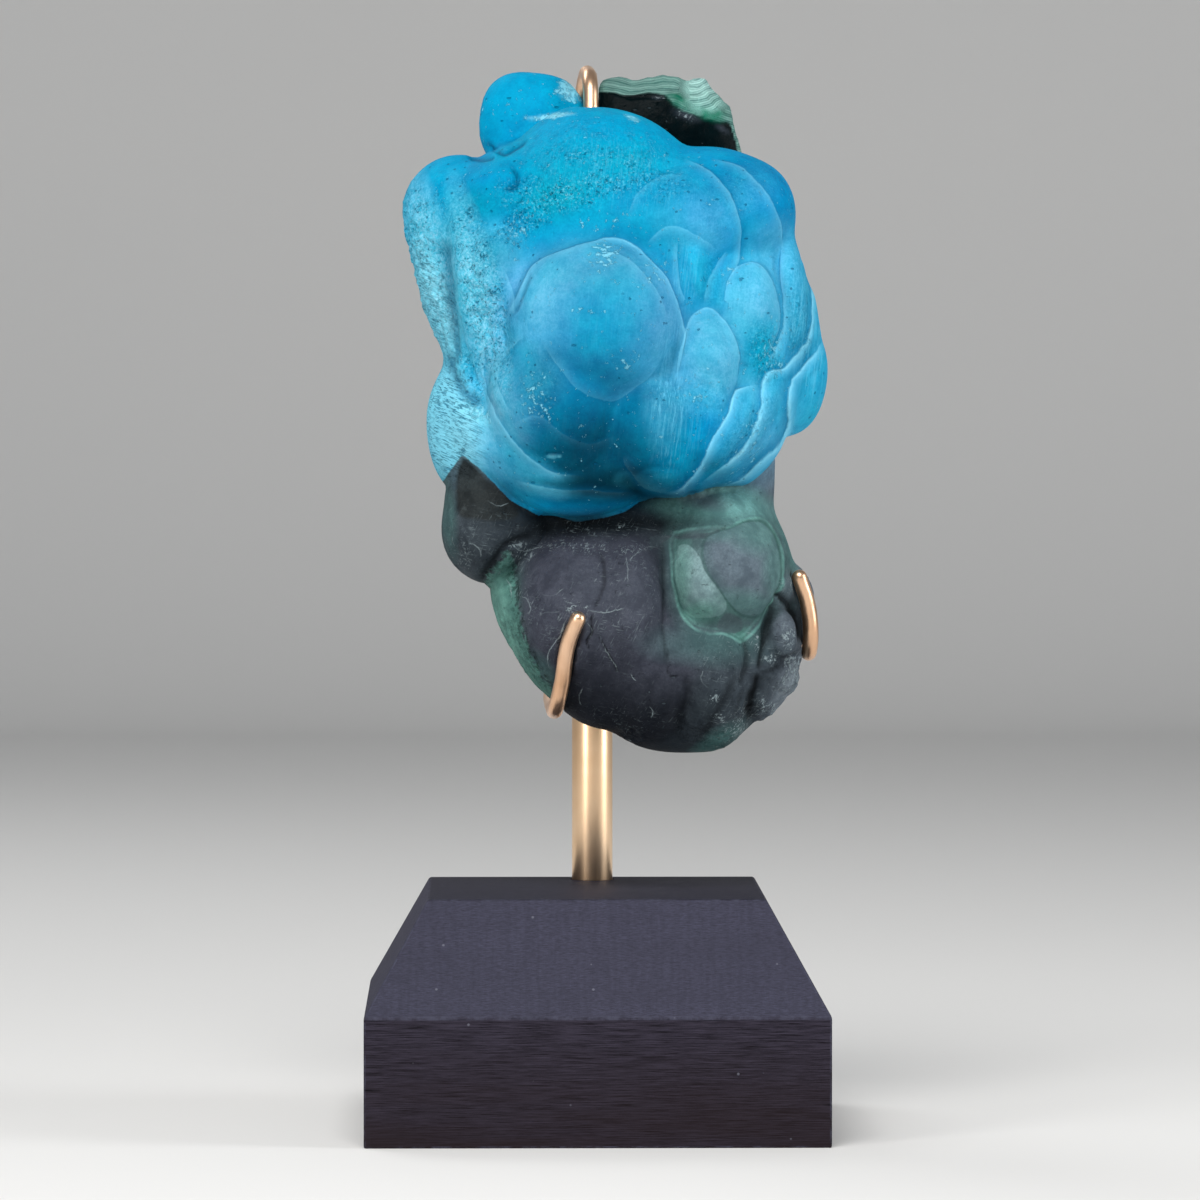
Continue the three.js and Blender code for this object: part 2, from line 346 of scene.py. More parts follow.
def wood_recipe(name, rubbed_and_highlighted):
    """Black stain over close grain: fine level lines on the walls, an even speckle above them."""
    wood = Recipe(name)
    across, inward, up = wood.parts(wood.place)
    on_wall = up.mapped(0.0190, 0.0199, 1, 0)
    lines = wood.clouds(1, 5, 0.8, wood.stretch((0.0062, 0.00022, 0.00017)))
    speckle = wood.clouds(1, 3, 0.7, wood.stretch((0.0009, 0.00014, 0.00014)))
    streaks = wood.clouds(1, 3, 0.6, wood.stretch((0.0007, 0.008, 0.008)))
    broad_figure = wood.clouds(1, 3, 0.5, wood.stretch((0.05, 0.006, 0.005)))
    wall = wood.blend(lines.mapped(0.36, 0.64), (19, 17, 21), (57, 53, 65))
    brown = up.mapped(0.002, 0.017, 0.7, 0) * broad_figure.mapped(0.35, 0.6, 0.5, 1)
    wall = wood.blend(brown, wall, (36, 28, 29))
    slope = wood.blend(speckle.mapped(0.34, 0.66), (50, 50, 61), (66, 66, 82))
    slope = wood.blend(streaks.mapped(0.42, 0.62, 0, 0.2), slope, (44, 44, 54))
    slope = wood.blend(broad_figure.mapped(0.4, 0.7, 0, 0.3), slope, (50, 50, 61))
    # The flat top is painted darker than the slopes: painted shade.
    shade_painted_on_top = up.mapped(BASE_HEIGHT - 0.0003, BASE_HEIGHT - 0.0001)
    slope = wood.blend(shade_painted_on_top * 0.45, slope, (20, 20, 24))
    colour = wood.blend(on_wall, slope, wall)

    # Specks of dust, closer together in patches and at the foot of the left corner
    dust_patch = wood.clouds(60, 3, 0.6).mapped(0.45, 0.7, 0.86, 0.72)
    low_corner = across.mapped(-0.034, -0.014, 0.34, 0) * up.mapped(0.0005, 0.004, 1, 0)
    speck, drawn = wood.specks(520, 0.07, 0.13)
    dust = speck * (drawn - (dust_patch - low_corner)).mapped(0, 0.02)
    colour = wood.blend(dust * 0.4, colour, (120, 122, 134))

    # Small drying checks at the two front corners
    left_check = across.mapped(-0.0346, -0.0322, 1, 0) * up.line_at(0.0087, 0.00004, 0.0002)
    right_check = across.mapped(0.0334, 0.0348, 0, 1) * up.line_at(0.0064, 0.00004, 0.0002)
    checks = left_check.larger(right_check) * inward.mapped(-0.0345, -0.028, 1, 0)
    colour = wood.blend(checks * 0.85, colour, (6, 6, 8))
    # The broken edges are paler: partly rubbed wear, partly a painted highlight along the edges.
    if rubbed_and_highlighted:
        worn_and_highlight = wood.clouds(500, 4, 0.7).mapped(0.42, 0.62, 0, 0.55)
        colour = wood.blend(worn_and_highlight, colour, (72, 73, 88))
    return wood.finish(
        checks * -2.0 + wood.blend(on_wall, speckle, lines),
        0.00004,
        Base_Color=colour,
        Roughness=speckle.mapped(0.3, 0.7, 0.6, 0.5),
        Specular_IOR_Level=0.02,
    )


base.data.materials.append(wood_recipe("black stained wood", False))
base.data.materials.append(wood_recipe("rubbed and highlighted edge of the wood", True))
slope_normal = Vector((0, BASE_HEIGHT - BASE_WALL_HEIGHT, (BASE_SIDE - BASE_TOP_SIDE) / 2))
slope_normal.normalize()
for face in base.data.polygons:
    x, y, z = (abs(part) for part in face.normal)
    on_slope = abs(max(x, y) - slope_normal.y) < 0.02 and min(x, y) < 0.02
    face.material_index = int(not (max(x, y, z) > 0.998 or on_slope))
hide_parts("base")
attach(base, "root")


# Post. A length of quarter-inch brass rod, rubbed to a satin finish along its length, standing in
# the base's blind hole. Its top end, behind the specimen, is filed flat with a small chamfer.
post_low, post_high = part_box("post")
bpy.ops.object.select_all(action="DESELECT")
bpy.ops.mesh.primitive_cylinder_add(
    vertices=96,
    radius=POST_RADIUS,
    depth=post_high[2] - post_low[2],
    location=(*POST_PLACE, (post_high[2] + post_low[2]) / 2),
)
post = bpy.context.object
post.name = "brass_post"
bpy.ops.object.transform_apply(location=True, rotation=True, scale=True)
select_faces(post, lambda centre, normal: abs(normal.z) > 0.9)
bpy.ops.object.mode_set(mode="EDIT")
bpy.ops.mesh.bevel(offset=0.0004, segments=2, affect="EDGES")
bpy.ops.object.mode_set(mode="OBJECT")
bpy.ops.object.shade_smooth_by_angle(angle=math.radians(25))

satin_brass = Recipe("satin brass")
rubbing = satin_brass.clouds(1, 4, 0.6, satin_brass.stretch((0.00022, 0.00022, 0.02)))
tarnish = satin_brass.clouds(60, 4, 0.6).mapped(0.35, 0.7)
post.data.materials.append(satin_brass.finish(
    rubbing,
    0.000006,
    Base_Color=satin_brass.blend(tarnish, (252, 219, 182), (241, 200, 156)),
    Metallic=1.0,
    Roughness=rubbing.mapped(0.3, 0.7, 0.28, 0.36),
))
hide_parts("post")
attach(post, "root")


# Claws. Three lengths of round brass wire, bent cold round the rock and brazed beside the post,
# with their tips filed round. A route gives the wire's middle, in millimetres, from post to tip.
MM = 0.001
WIRE_RADIUS = 0.0012
POST_Y = POST_PLACE[1] / MM
BESIDE_POST = (POST_RADIUS + WIRE_RADIUS) / MM + 0.3
TIP_STEPS = 6

drawn_brass = Recipe("drawn brass wire")
handling = drawn_brass.clouds(700, 4, 0.6)
tarnish = drawn_brass.clouds(90, 4, 0.6).mapped(0.35, 0.7)
drawn_brass.finish(
    handling,
    0.00001,
    Base_Color=drawn_brass.blend(tarnish, (242, 202, 168), (220, 174, 136)),
    Metallic=1.0,
    Roughness=handling.mapped(0.3, 0.7, 0.3, 0.4),
)


def bend_wire(name, route):
    """Bends a wire along a route and rounds its tip. Gives the wire and its middle line."""
    bpy.ops.object.select_all(action="DESELECT")
    bpy.ops.curve.primitive_bezier_curve_add(location=(0, 0, 0))
    wire = bpy.context.object
    wire.name = name
    line = wire.data.splines[0]
    line.bezier_points.add(len(route) - len(line.bezier_points))
    for bend, place in zip(line.bezier_points, route):
        bend.co = Vector(place) * MM
        bend.handle_left_type = "AUTO"
        bend.handle_right_type = "AUTO"
    line.resolution_u = 10
    wire.data.dimensions = "3D"
    middle = [vertex.co.copy() for vertex in wire.to_mesh().vertices]
    wire.to_mesh_clear()
    wire.data.bevel_depth = WIRE_RADIUS
    wire.data.bevel_resolution = 6
    wire.data.use_fill_caps = True
    bpy.ops.object.convert(target="MESH")
    bpy.ops.object.mode_set(mode="EDIT")
    bpy.ops.mesh.select_all(action="SELECT")
    bpy.ops.mesh.remove_doubles(threshold=0.00001)
    bpy.ops.object.mode_set(mode="OBJECT")
    tip = middle[-1]
    along = (tip - middle[-2]).normalized()
    select_faces(
        wire,
        lambda centre, normal: (centre - tip).length < WIRE_RADIUS and abs(normal.dot(along)) > 0.9,
    )
    bpy.ops.object.mode_set(mode="EDIT")
    for step in range(TIP_STEPS):
        here = math.pi / 2 * step / TIP_STEPS
        there = math.pi / 2 * (step + 1) / TIP_STEPS
        advance = WIRE_RADIUS * (math.sin(there) - math.sin(here))
        narrowing = max(math.cos(there), 0.06) / math.cos(here)
        bpy.ops.mesh.extrude_region_move(TRANSFORM_OT_translate={"value": along * advance})
        bpy.ops.transform.resize(value=(narrowing, narrowing, narrowing))
    bpy.ops.mesh.select_all(action="SELECT")
    bpy.ops.mesh.normals_make_consistent(inside=False)
    bpy.ops.object.mode_set(mode="OBJECT")
    bpy.ops.object.shade_smooth_by_angle(angle=math.radians(40))
    wire.data.materials.append(drawn_brass.material)
    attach(wire, "root")
    return wire, middle


top_claw, top_middle = bend_wire("top_wire_claw", [
    (0, POST_Y + BESIDE_POST, 78), (0, POST_Y + BESIDE_POST, 96), (-0.5, POST_Y + 3.5, 112),
    (-1.3, 19.2, 135), (-1.6, 17.8, 152), (-1.5, 15.9, 159), (-1.1, 12.2, 161.9),
    (-0.8, 7.5, 161.9), (-0.6, 3.2, 160.6), (-0.5, 1.4, 157), (-0.6, 0.6, 152.6),
])
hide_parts("top_claw")
left_claw, left_middle = bend_wire("left_wire_claw", [
    (-BESIDE_POST, POST_Y, 90), (-BESIDE_POST, POST_Y, 78), (-5.6, 19.8, 70),
    (-6.4, 18.2, 66), (-6.4, 13, 64.6), (-6.3, 0, 64.5), (-6.2, -12.5, 64.5),
    (-5.95, -17.2, 65.6), (-5.2, -19.8, 69), (-4.3, -23.2, 75), (-2.9, -25.3, 78.8),
])
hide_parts("left_claw")
right_claw, right_middle = bend_wire("right_wire_claw", [
    (BESIDE_POST, POST_Y, 90), (BESIDE_POST, POST_Y, 79), (6.5, 19.6, 74.5), (12, 18.6, 73.2),
    (25, 17.6, 73), (31, 15.3, 73), (32.8, 10.5, 73), (32.8, 0, 73),
    (32.9, -5, 73.4), (33, -7, 76), (32.5, -7.9, 80.5), (31.2, -8.9, 84.6),
])
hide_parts("right_claw")


# Brazing. A bead of brass run along between each wire and the post, which holds the wire on. Each
# bead has the side of the post that it is on, and the height of its lower and upper end.
BEAD_RADIUS = 0.0010
from_middle = POST_RADIUS + 0.00015
bpy.ops.object.select_all(action="DESELECT")
beads = []
for side_x, side_y, low, high in (
    (0, 1, 0.0790, 0.0925), (-1, 0, 0.0785, 0.0885), (1, 0, 0.0795, 0.0885),
):
    bpy.ops.mesh.primitive_cylinder_add(
        vertices=20, radius=BEAD_RADIUS, depth=high - low,
        location=(side_x * from_middle, POST_PLACE[1] + side_y * from_middle, (low + high) / 2),
    )
    bead = bpy.context.object
    bpy.ops.object.mode_set(mode="EDIT")
    bpy.ops.mesh.select_all(action="SELECT")
    bpy.ops.transform.resize(value=(0.6 + 0.9 * abs(side_y), 0.6 + 0.9 * abs(side_x), 1))
    bpy.ops.object.mode_set(mode="OBJECT")
    select_faces(bead, lambda centre, normal: abs(normal.z) > 0.9)
    bpy.ops.object.mode_set(mode="EDIT")
    bpy.ops.mesh.bevel(offset=0.0006, segments=4, affect="EDGES")
    bpy.ops.object.mode_set(mode="OBJECT")
    bpy.ops.object.transform_apply(location=True, rotation=True, scale=True)
    beads.append(bead)
for bead in beads:
    bead.select_set(True)
bpy.context.view_layer.objects.active = beads[0]
bpy.ops.object.join()
brazing = bpy.context.object
brazing.name = "brazed_joints"
bpy.ops.object.shade_smooth_by_angle(angle=math.radians(40))
brazing.data.materials.append(drawn_brass.material)
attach(brazing, "root")


# Specimen. Blue chrysocolla grown in round lobes and shells over botryoidal malachite, all one
# piece of rock. Each growth is an ellipsoid, in millimetres: the middle's x, y and z, half the
# width, depth and height, the lean to the right in degrees, and the name of its tone.
CORE = {
    "blue heart": (4, -3, 124, 24.5, 22, 27, 0, "azure"),
    "blue back": (3, 8, 126, 22, 14, 25, 0, "broken green"),
    "left heart": (-15, -2, 125, 8.6, 12.5, 22, -3, "turquoise"),
    "right heart": (19.5, -5, 122, 12.3, 14.5, 20, 0, "azure"),
    "shell heart": (18.5, -6, 109, 10.2, 14.5, 11, 20, "bright"),
    "chin heart": (-8, -3, 103.5, 14, 12.5, 9, 0, "bright"),
    # The waist, in the hollow under the blue, is given a near-black tone: painted shade.
    "waist": (3, 2, 97, 22.5, 15, 10, 0, "black and painted shade"),
    "dark heart": (5, 1, 82, 18, 17, 21, 0, "slate"),
    "dark back": (7, 8, 82, 18, 13, 20, 0, "broken green"),
    "dark front": (-0.5, -8, 78.5, 13, 15.2, 13, 0, "plum"),
    "halo heart": (20, -6, 85, 8.6, 12.6, 9, 0, "olive"),
    "low heart": (19.5, -3, 75, 10, 13, 13, 0, "slate"),
}
BLUE_LOBES = {
    "crown": (0.3, -5, 142, 16.2, 17, 14.7, -2, "sky"),
    "crown left": (-12.5, -6, 142.5, 8.5, 12, 8.2, -25, "azure"),
    "crown right": (18, -5, 139.8, 12.3, 16, 10.9, 12, "azure"),
    "knob": (-9.8, 8, 154, 8.4, 6.5, 7.5, 0, "sky"),
    "knob right": (-6.2, 8.5, 154.0, 6.0, 5, 6.2, 0, "sky"),
    "knob neck": (-11.5, 4, 147.5, 5.5, 8, 4.5, 0, "azure"),
    "right shoulder": (24.3, -8, 141.2, 6.4, 11, 6.9, -20, "azure"),
    "temple": (12.5, -11, 139, 9.3, 13.5, 8.6, 8, "bright"),
    "temple left": (5, -13, 137.5, 7, 11, 7.2, 0, "azure"),
    "temple ridge": (14.8, -18.5, 130.8, 2.3, 6, 5.2, -14, "bright"),
    "left shoulder": (-20.8, -1, 139.8, 8.7, 11, 9.8, -10, "sky"),
    "left column": (-24.3, 0, 132, 3.6, 8, 12.5, -12, "bright"),
    "left ridge": (-19.2, -7, 130, 4.0, 9, 14, -8, "turquoise"),
    "left slope": (-14, -11, 131, 5.6, 9.5, 8.8, -15, "pale"),
    "left foot": (-19.8, -4, 116, 3.1, 8, 9, 0, "turquoise"),
    "lower left": (-20.2, -2, 107, 5.9, 10, 10.3, -4, "bright"),
    "left lip": (-15.5, -9, 106.5, 6.2, 9, 9.2, -38, "bright"),
    "brow": (0, -19, 123.8, 13.6, 13, 12.6, 0, "hazy"),
    "cheek left": (-5.8, -17.5, 111.5, 10.6, 12.5, 11.2, 0, "deep"),
    "cheek right": (8, -17, 107.8, 7.8, 12, 8.6, 0, "deep"),
    "chin": (-2.6, -12.5, 106, 15.1, 13, 12.3, 0, "azure"),
    "chin right": (10.5, -13.5, 106, 10.8, 13, 8.8, 0, "azure"),
    # The pale lobes on the right are partly the blue's own pale colour, partly a painted sheen.
    "pale right": (23.2, -12.5, 125.5, 4.3, 9.5, 8.2, 5, "pale"),
    "pale middle": (17, -17.5, 118, 4.8, 8.5, 7.6, -8, "pale"),
    "middle low": (14.5, -15, 110.5, 5.5, 10, 6.5, 20, "azure"),
    "right side": (29.2, -8, 128, 3.0, 8, 9.8, -3, "bright"),
    "right rim": (31.8, -3, 124, 2.6, 7, 9.0, -10, "bright"),
    "shell one": (19.8, -15, 106.8, 3.0, 8.5, 8.4, 34, "bright"),
    "shell two": (23.6, -11.5, 107.8, 3.0, 9, 9.8, 30, "azure"),
    "shell three": (26.3, -7.5, 107.6, 2.6, 9, 9.6, 27, "azure"),
    "far right": (31, -2, 113.8, 4.9, 8, 7.5, 10, "bright"),
    "right swell": (20, -10.5, 121, 9.2, 12, 15, -4, "bright"),
    "low right swell": (15, -13, 109, 10.5, 12.2, 9.5, 20, "azure"),
}
DARK_LOBES = {
    "left upper": (-16, -5, 97.5, 7.0, 10, 7.0, 0, "slate"),
    "left lobe": (-16.3, -5, 91, 7.3, 12, 8.2, -25, "slate"),
    "left inner": (-11.5, -7, 92.5, 3.6, 8, 3.4, 0, "slate"),
    "front left": (-3.2, -8, 78.6, 8.9, 16, 12.6, -4, "plum"),
    "front middle": (5, -9, 79.5, 6.6, 16.5, 12.6, 0, "plum"),
    "low left": (0.5, -7, 72, 8.8, 13, 10.6, -12, "plum"),
    "halo dome": (21.8, -9, 85.8, 6.0, 12, 7.6, -6, "slate"),
    "halo crescent": (16.8, -9.5, 83.4, 5.2, 11.5, 7.6, -18, "sage"),
    "halo shoulder": (18.5, -5, 93.8, 8, 11, 5.6, 8, "olive"),
    "right column": (23.5, -1, 99, 4.4, 9, 9, 5, "ash"),
    "right wall": (26.3, -2, 86, 4.4, 9, 9.4, -10, "olive"),
    "claw lobe": (30.3, 2, 80.8, 4.2, 9, 5.8, 0, "ash"),
    "claw low": (29.6, -1.5, 76, 2.9, 7, 4.4, 0, "slate"),
    "right inner": (28.2, -7, 76, 3.0, 7, 5.0, -8, "slate"),
    "right strip": (24.6, -7, 71, 2.9, 9, 7.4, 5, "slate"),
    "low right": (25.5, -2, 69.5, 5.6, 9, 7.6, 30, "ash"),
    "low middle": (17.6, -8, 68.0, 6.6, 13.5, 9.4, 0, "slate"),
    "low front": (8.7, -9.5, 66.5, 5.2, 12, 6.5, 0, "plum"),
    "tail": (13.4, -5, 65.4, 10.6, 11.5, 8.0, -4, "slate"),
    "tail left": (7.4, -6, 64.6, 4.8, 9, 5.0, 0, "plum"),
    "tail right": (17.6, -6, 64.4, 3.5, 9, 5.1, -10, "slate"),
    "low swell": (9.5, -6.5, 71.5, 14, 15.2, 11, 0, "plum"),
    "halo swell": (19.5, -8, 86, 9.6, 13.2, 10, 0, "slate"),
}
FLANK = {"lower left": (-8.6, -4, 76.5, 5.2, 12, 11.5, -32, "mint")}
SLAB = {"slab": (9.8, 8, 150.5, 13.8, 5.8, 13.5, 0, "black and painted shade")}

# A broken face is a point on it and the direction in which the rock is gone
SLAB_BREAKS = [
    ((7, 4.4, 158.6), (0.02, -0.5, 0.86)),
    ((8, 9.5, 161.6), (0.02, 0.12, 0.98)),
    ((17.9, 6, 158.6), (0.66, -0.35, 0.66)),
    ((21.8, 8, 154), (0.96, -0.05, 0.24)),
    ((0.8, 8, 158), (-1, 0, 0.1)),
]
FLANK_BREAKS = [((-14.6, -8, 76.5), (-0.82, -0.25, -0.5))]
BACK_BREAKS = [
    ((4, 14.2, 128), (0.03, 1, 0.06)),
    ((4, 14.4, 84), (-0.05, 1, -0.08)),
    ((-21, 7, 112), (-0.66, 0.75, 0.05)),
    ((28, 6.5, 112), (0.64, 0.76, -0.08)),
]
ROCK_PITCH = 0.0008
BLUE_VALLEY = 0.85
DARK_VALLEY = 1.0
SEAM_VALLEY = 0.25
BREAK_EDGE = 0.15
SETTLE_ROUNDS = 6
SETTLE_LIMIT = 0.5
SETTLE_SHARE = 0.8
TINY = 1e-9


def grow(lobes):
    """Adds each growth to the mesh in hand, as a ball stretched to its size and leaned."""
    bpy.ops.mesh.select_all(action="DESELECT")
    for x, y, z, half_width, half_depth, half_height, lean, _ in lobes.values():
        bpy.ops.mesh.primitive_ico_sphere_add(
            subdivisions=5,
            radius=MM,
            location=(x * MM, y * MM, z * MM),
            rotation=(0, math.radians(lean), 0),
            scale=(half_width, half_depth, half_height),
        )


def break_off(breaks):
    for point, gone in breaks:
        bpy.ops.mesh.select_all(action="SELECT")
        bpy.ops.mesh.bisect(
            plane_co=Vector(point) * MM,
            plane_no=Vector(gone).normalized(),
            use_fill=True,
            clear_outer=True,
        )


bpy.ops.object.select_all(action="DESELECT")
bpy.ops.mesh.primitive_ico_sphere_add(subdivisions=1, radius=MM, location=(0, 0, 0))
rock = bpy.context.object
rock.name = "mineral_specimen"
bpy.ops.object.mode_set(mode="EDIT")
bpy.ops.mesh.delete(type="VERT")
for lobes, breaks in ((SLAB, SLAB_BREAKS), (FLANK, FLANK_BREAKS)):
    grow(lobes)
    break_off(breaks)
    bpy.ops.mesh.select_all(action="SELECT")
    bpy.ops.mesh.hide(unselected=False)
for lobes in (CORE, BLUE_LOBES, DARK_LOBES):
    grow(lobes)
bpy.ops.mesh.reveal()
bpy.ops.object.mode_set(mode="OBJECT")


def fuse(piece):
    """Melts what overlaps into one even skin."""
    skin = piece.modifiers.new("skin", "REMESH")
    skin.mode = "VOXEL"
    skin.voxel_size = ROCK_PITCH
    bpy.ops.object.modifier_apply(modifier=skin.name)


fuse(rock)
bpy.ops.object.mode_set(mode="EDIT")
break_off(BACK_BREAKS)
bpy.ops.object.mode_set(mode="OBJECT")
fuse(rock)

# The side that is mostly seen gets a skin twice as fine
select_faces(rock, lambda centre, normal: normal.y < -0.12)
bpy.ops.object.mode_set(mode="EDIT")
bpy.ops.mesh.select_less()
bpy.ops.mesh.subdivide(number_cuts=1)
bpy.ops.object.mode_set(mode="OBJECT")


def leaned(across, upward, lean):
    """Turns places to the axes of something that leans to the right by so many degrees."""
    cosine, sine = math.cos(math.radians(lean)), math.sin(math.radians(lean))
    return across * cosine - upward * sine, across * sine + upward * cosine


def distances_outside(points, lobes):
    """How far each point lies outside each growth, and the way out, all in millimetres."""
    far = np.empty((len(lobes), len(points)), np.float32)
    out = np.empty((len(lobes), len(points), 3), np.float32)
    for row, (x, y, z, half_width, half_depth, half_height, lean, _) in enumerate(lobes.values()):
        offset = points - np.array((x, y, z), np.float32)
        across, upward = leaned(offset[:, 0], offset[:, 2], lean)
        sizes = np.array((half_width, half_depth, half_height), np.float32)
        scaled = np.stack((across, offset[:, 1], upward), axis=1) / sizes
        steep = scaled / sizes
        level = np.linalg.norm(scaled, axis=1)
        slope = np.linalg.norm(steep, axis=1) + TINY
        far[row] = level * (level - 1) / slope
        steep /= slope[:, None]
        out[row, :, 0], out[row, :, 2] = leaned(steep[:, 0], steep[:, 2], -lean)
        out[row, :, 1] = steep[:, 1]
    return far, out


def melt(far, out, softness):
    """Runs growths together with a rounded valley between them."""
    nearest = far.min(axis=0)
    weight = np.exp(-(far - nearest) / softness)
    total = weight.sum(axis=0)
    level = nearest - softness * np.log(total)
    way = np.einsum("rp,rpc->pc", weight, out) / total[:, None]
    return level, way / (np.linalg.norm(way, axis=1)[:, None] + TINY)


def cut_flat(points, level, way, breaks):
    """Takes off what lies past each break, with a slightly rounded edge."""
    for point, gone in breaks:
        gone = np.array(gone, np.float32) / np.linalg.norm(gone)
        plane = (points - np.array(point, np.float32)) @ gone
        share = 1 / (1 + np.exp(np.clip((level - plane) / BREAK_EDGE, -40, 40)))
        level = np.maximum(level, plane)
        way = way * (1 - share[:, None]) + gone * share[:, None]
    return level, way


BLUE_HEARTS = ("blue heart", "blue back", "left heart", "right heart", "shell heart", "chin heart")
BLUE = {**{name: CORE[name] for name in BLUE_HEARTS}, **BLUE_LOBES}
DARK = {**{name: CORE[name] for name in CORE if name not in BLUE_HEARTS}, **DARK_LOBES}


def rock_surface(points):
    """The whole rock: distance outside it, the way out, and the depth below its grown skin."""
    blue, blue_way = melt(*distances_outside(points, BLUE), BLUE_VALLEY)
    dark, dark_way = melt(*distances_outside(points, DARK), DARK_VALLEY)
    both = np.stack((blue + 0.4 * BLUE_VALLEY, dark + 0.4 * DARK_VALLEY))
    level, way = melt(both, np.stack((blue_way, dark_way)), SEAM_VALLEY)
    grown = level.copy()
    for lobes, breaks in ((SLAB, SLAB_BREAKS), (FLANK, FLANK_BREAKS)):
        own_far, own_out = distances_outside(points, lobes)
        grown = np.minimum(grown, own_far[0])
        own, own_way = cut_flat(points, own_far[0], own_out[0], breaks)
        level, way = melt(np.stack((level, own)), np.stack((way, own_way)), SEAM_VALLEY)
    level, way = cut_flat(points, level, way, BACK_BREAKS)
    way /= np.linalg.norm(way, axis=1)[:, None] + TINY
    return level, way, -grown


points = np.empty(len(rock.data.vertices) * 3, np.float32)
rock.data.vertices.foreach_get("co", points)
points = points.reshape(-1, 3) / MM
# The remesh leaves the points a little off the growths' skin, so they settle onto it in short steps
for _ in range(SETTLE_ROUNDS):
    level, way, depth = rock_surface(points)
    points -= way * np.clip(level, -SETTLE_LIMIT, SETTLE_LIMIT)[:, None] * SETTLE_SHARE

# Marks are placed as they are seen from the front, on an upright sheet 15 mm before the middle.
# They wander a little from there, in the same way on every run because the seed is set.
VIEWED_FROM = (-18.16, -1133.5, 114.6)
MARKING_SHEET_Y = -15
WANDER = 0.35
WANDER_SEED = 4
reach = (MARKING_SHEET_Y - VIEWED_FROM[1]) / (points[:, 1] - VIEWED_FROM[1])
seen_x = VIEWED_FROM[0] + (points[:, 0] - VIEWED_FROM[0]) * reach
seen_z = VIEWED_FROM[2] + (points[:, 2] - VIEWED_FROM[2]) * reach
facing = np.clip(-way[:, 1] / 0.25 + 0.6, 0, 1)
noise.seed_set(WANDER_SEED)
wander = np.array([noise.noise_vector(Vector(point) * 0.22) for point in points], np.float32)
seen_x += wander[:, 0] * WANDER
seen_z += wander[:, 2] * WANDER


def round_off(line, steps=5):
    """Runs a smooth curve through a line's points."""
    line = [np.array(point, float) for point in line]
    ends = [2 * line[0] - line[1], *line, 2 * line[-1] - line[-2]]
    curve = []
    for before, start, stop, after in zip(ends, ends[1:], ends[2:], ends[3:]):
        for step in range(steps):
            t = step / steps
            curve.append(0.5 * (
                2 * start + (stop - before) * t
                + (2 * before - 5 * start + 4 * stop - after) * t ** 2
                + (3 * start - before - 3 * stop + after) * t ** 3
            ))
    curve.append(line[-1])
    return np.array(curve)


def beside(line, widest):
    """Each point's distance from a line, positive on its right-hand side, and how far along."""
    curve = round_off(line)
    low, high = curve.min(axis=0) - widest, curve.max(axis=0) + widest
    inside = (seen_x > low[0]) & (seen_x < high[0]) & (seen_z > low[1]) & (seen_z < high[1])
    near = np.flatnonzero(inside & (facing > 0))
    here = np.stack((seen_x[near], seen_z[near]), axis=1)
    nearest = np.full(len(near), 99.0)
    side = np.zeros(len(near))
    along = np.zeros(len(near))
    for index, (start, stop) in enumerate(zip(curve, curve[1:])):
        run = stop - start
        share = np.clip((here - start) @ run / (run @ run), 0, 1)
        off = here - start - share[:, None] * run
        length = np.hypot(off[:, 0], off[:, 1])
        closer = length < nearest
        nearest[closer] = length[closer]
        side[closer] = np.sign(run[1] * off[closer, 0] - run[0] * off[closer, 1])
        along[closer] = (index + share[closer]) / (len(curve) - 1)
    return near, nearest * np.where(side == 0, 1, side), along


def taper(along, share=0.15):
    """Fades a line out over a share of its length at both ends."""
    return np.clip(along / share, 0, 1) * np.clip((1 - along) / share, 0, 1)


def draw_lines(lines, widest=2.6):
    """Spreads lines over three sheets, so that no two near each other share one. For each point and
    sheet: how far it is beside the line, and how strong the line is there."""
    off = np.full((len(points), 3), 9.0, np.float32)
    strength = np.zeros((len(points), 3), np.float32)
    for amount, line in lines:
        near, distance, along = beside(line, widest)
        own = amount * taper(along) * facing[near] * np.clip(widest - np.abs(distance), 0, 1)
        crowded = [float((strength[near, sheet] * (own > 0)).sum()) for sheet in range(3)]
        sheet = crowded.index(min(crowded))
        chosen = own > strength[near, sheet]
        off[near[chosen], sheet] = distance[chosen]
        strength[near[chosen], sheet] = own[chosen]
    return off, strength


lift = np.zeros(len(points), np.float32)
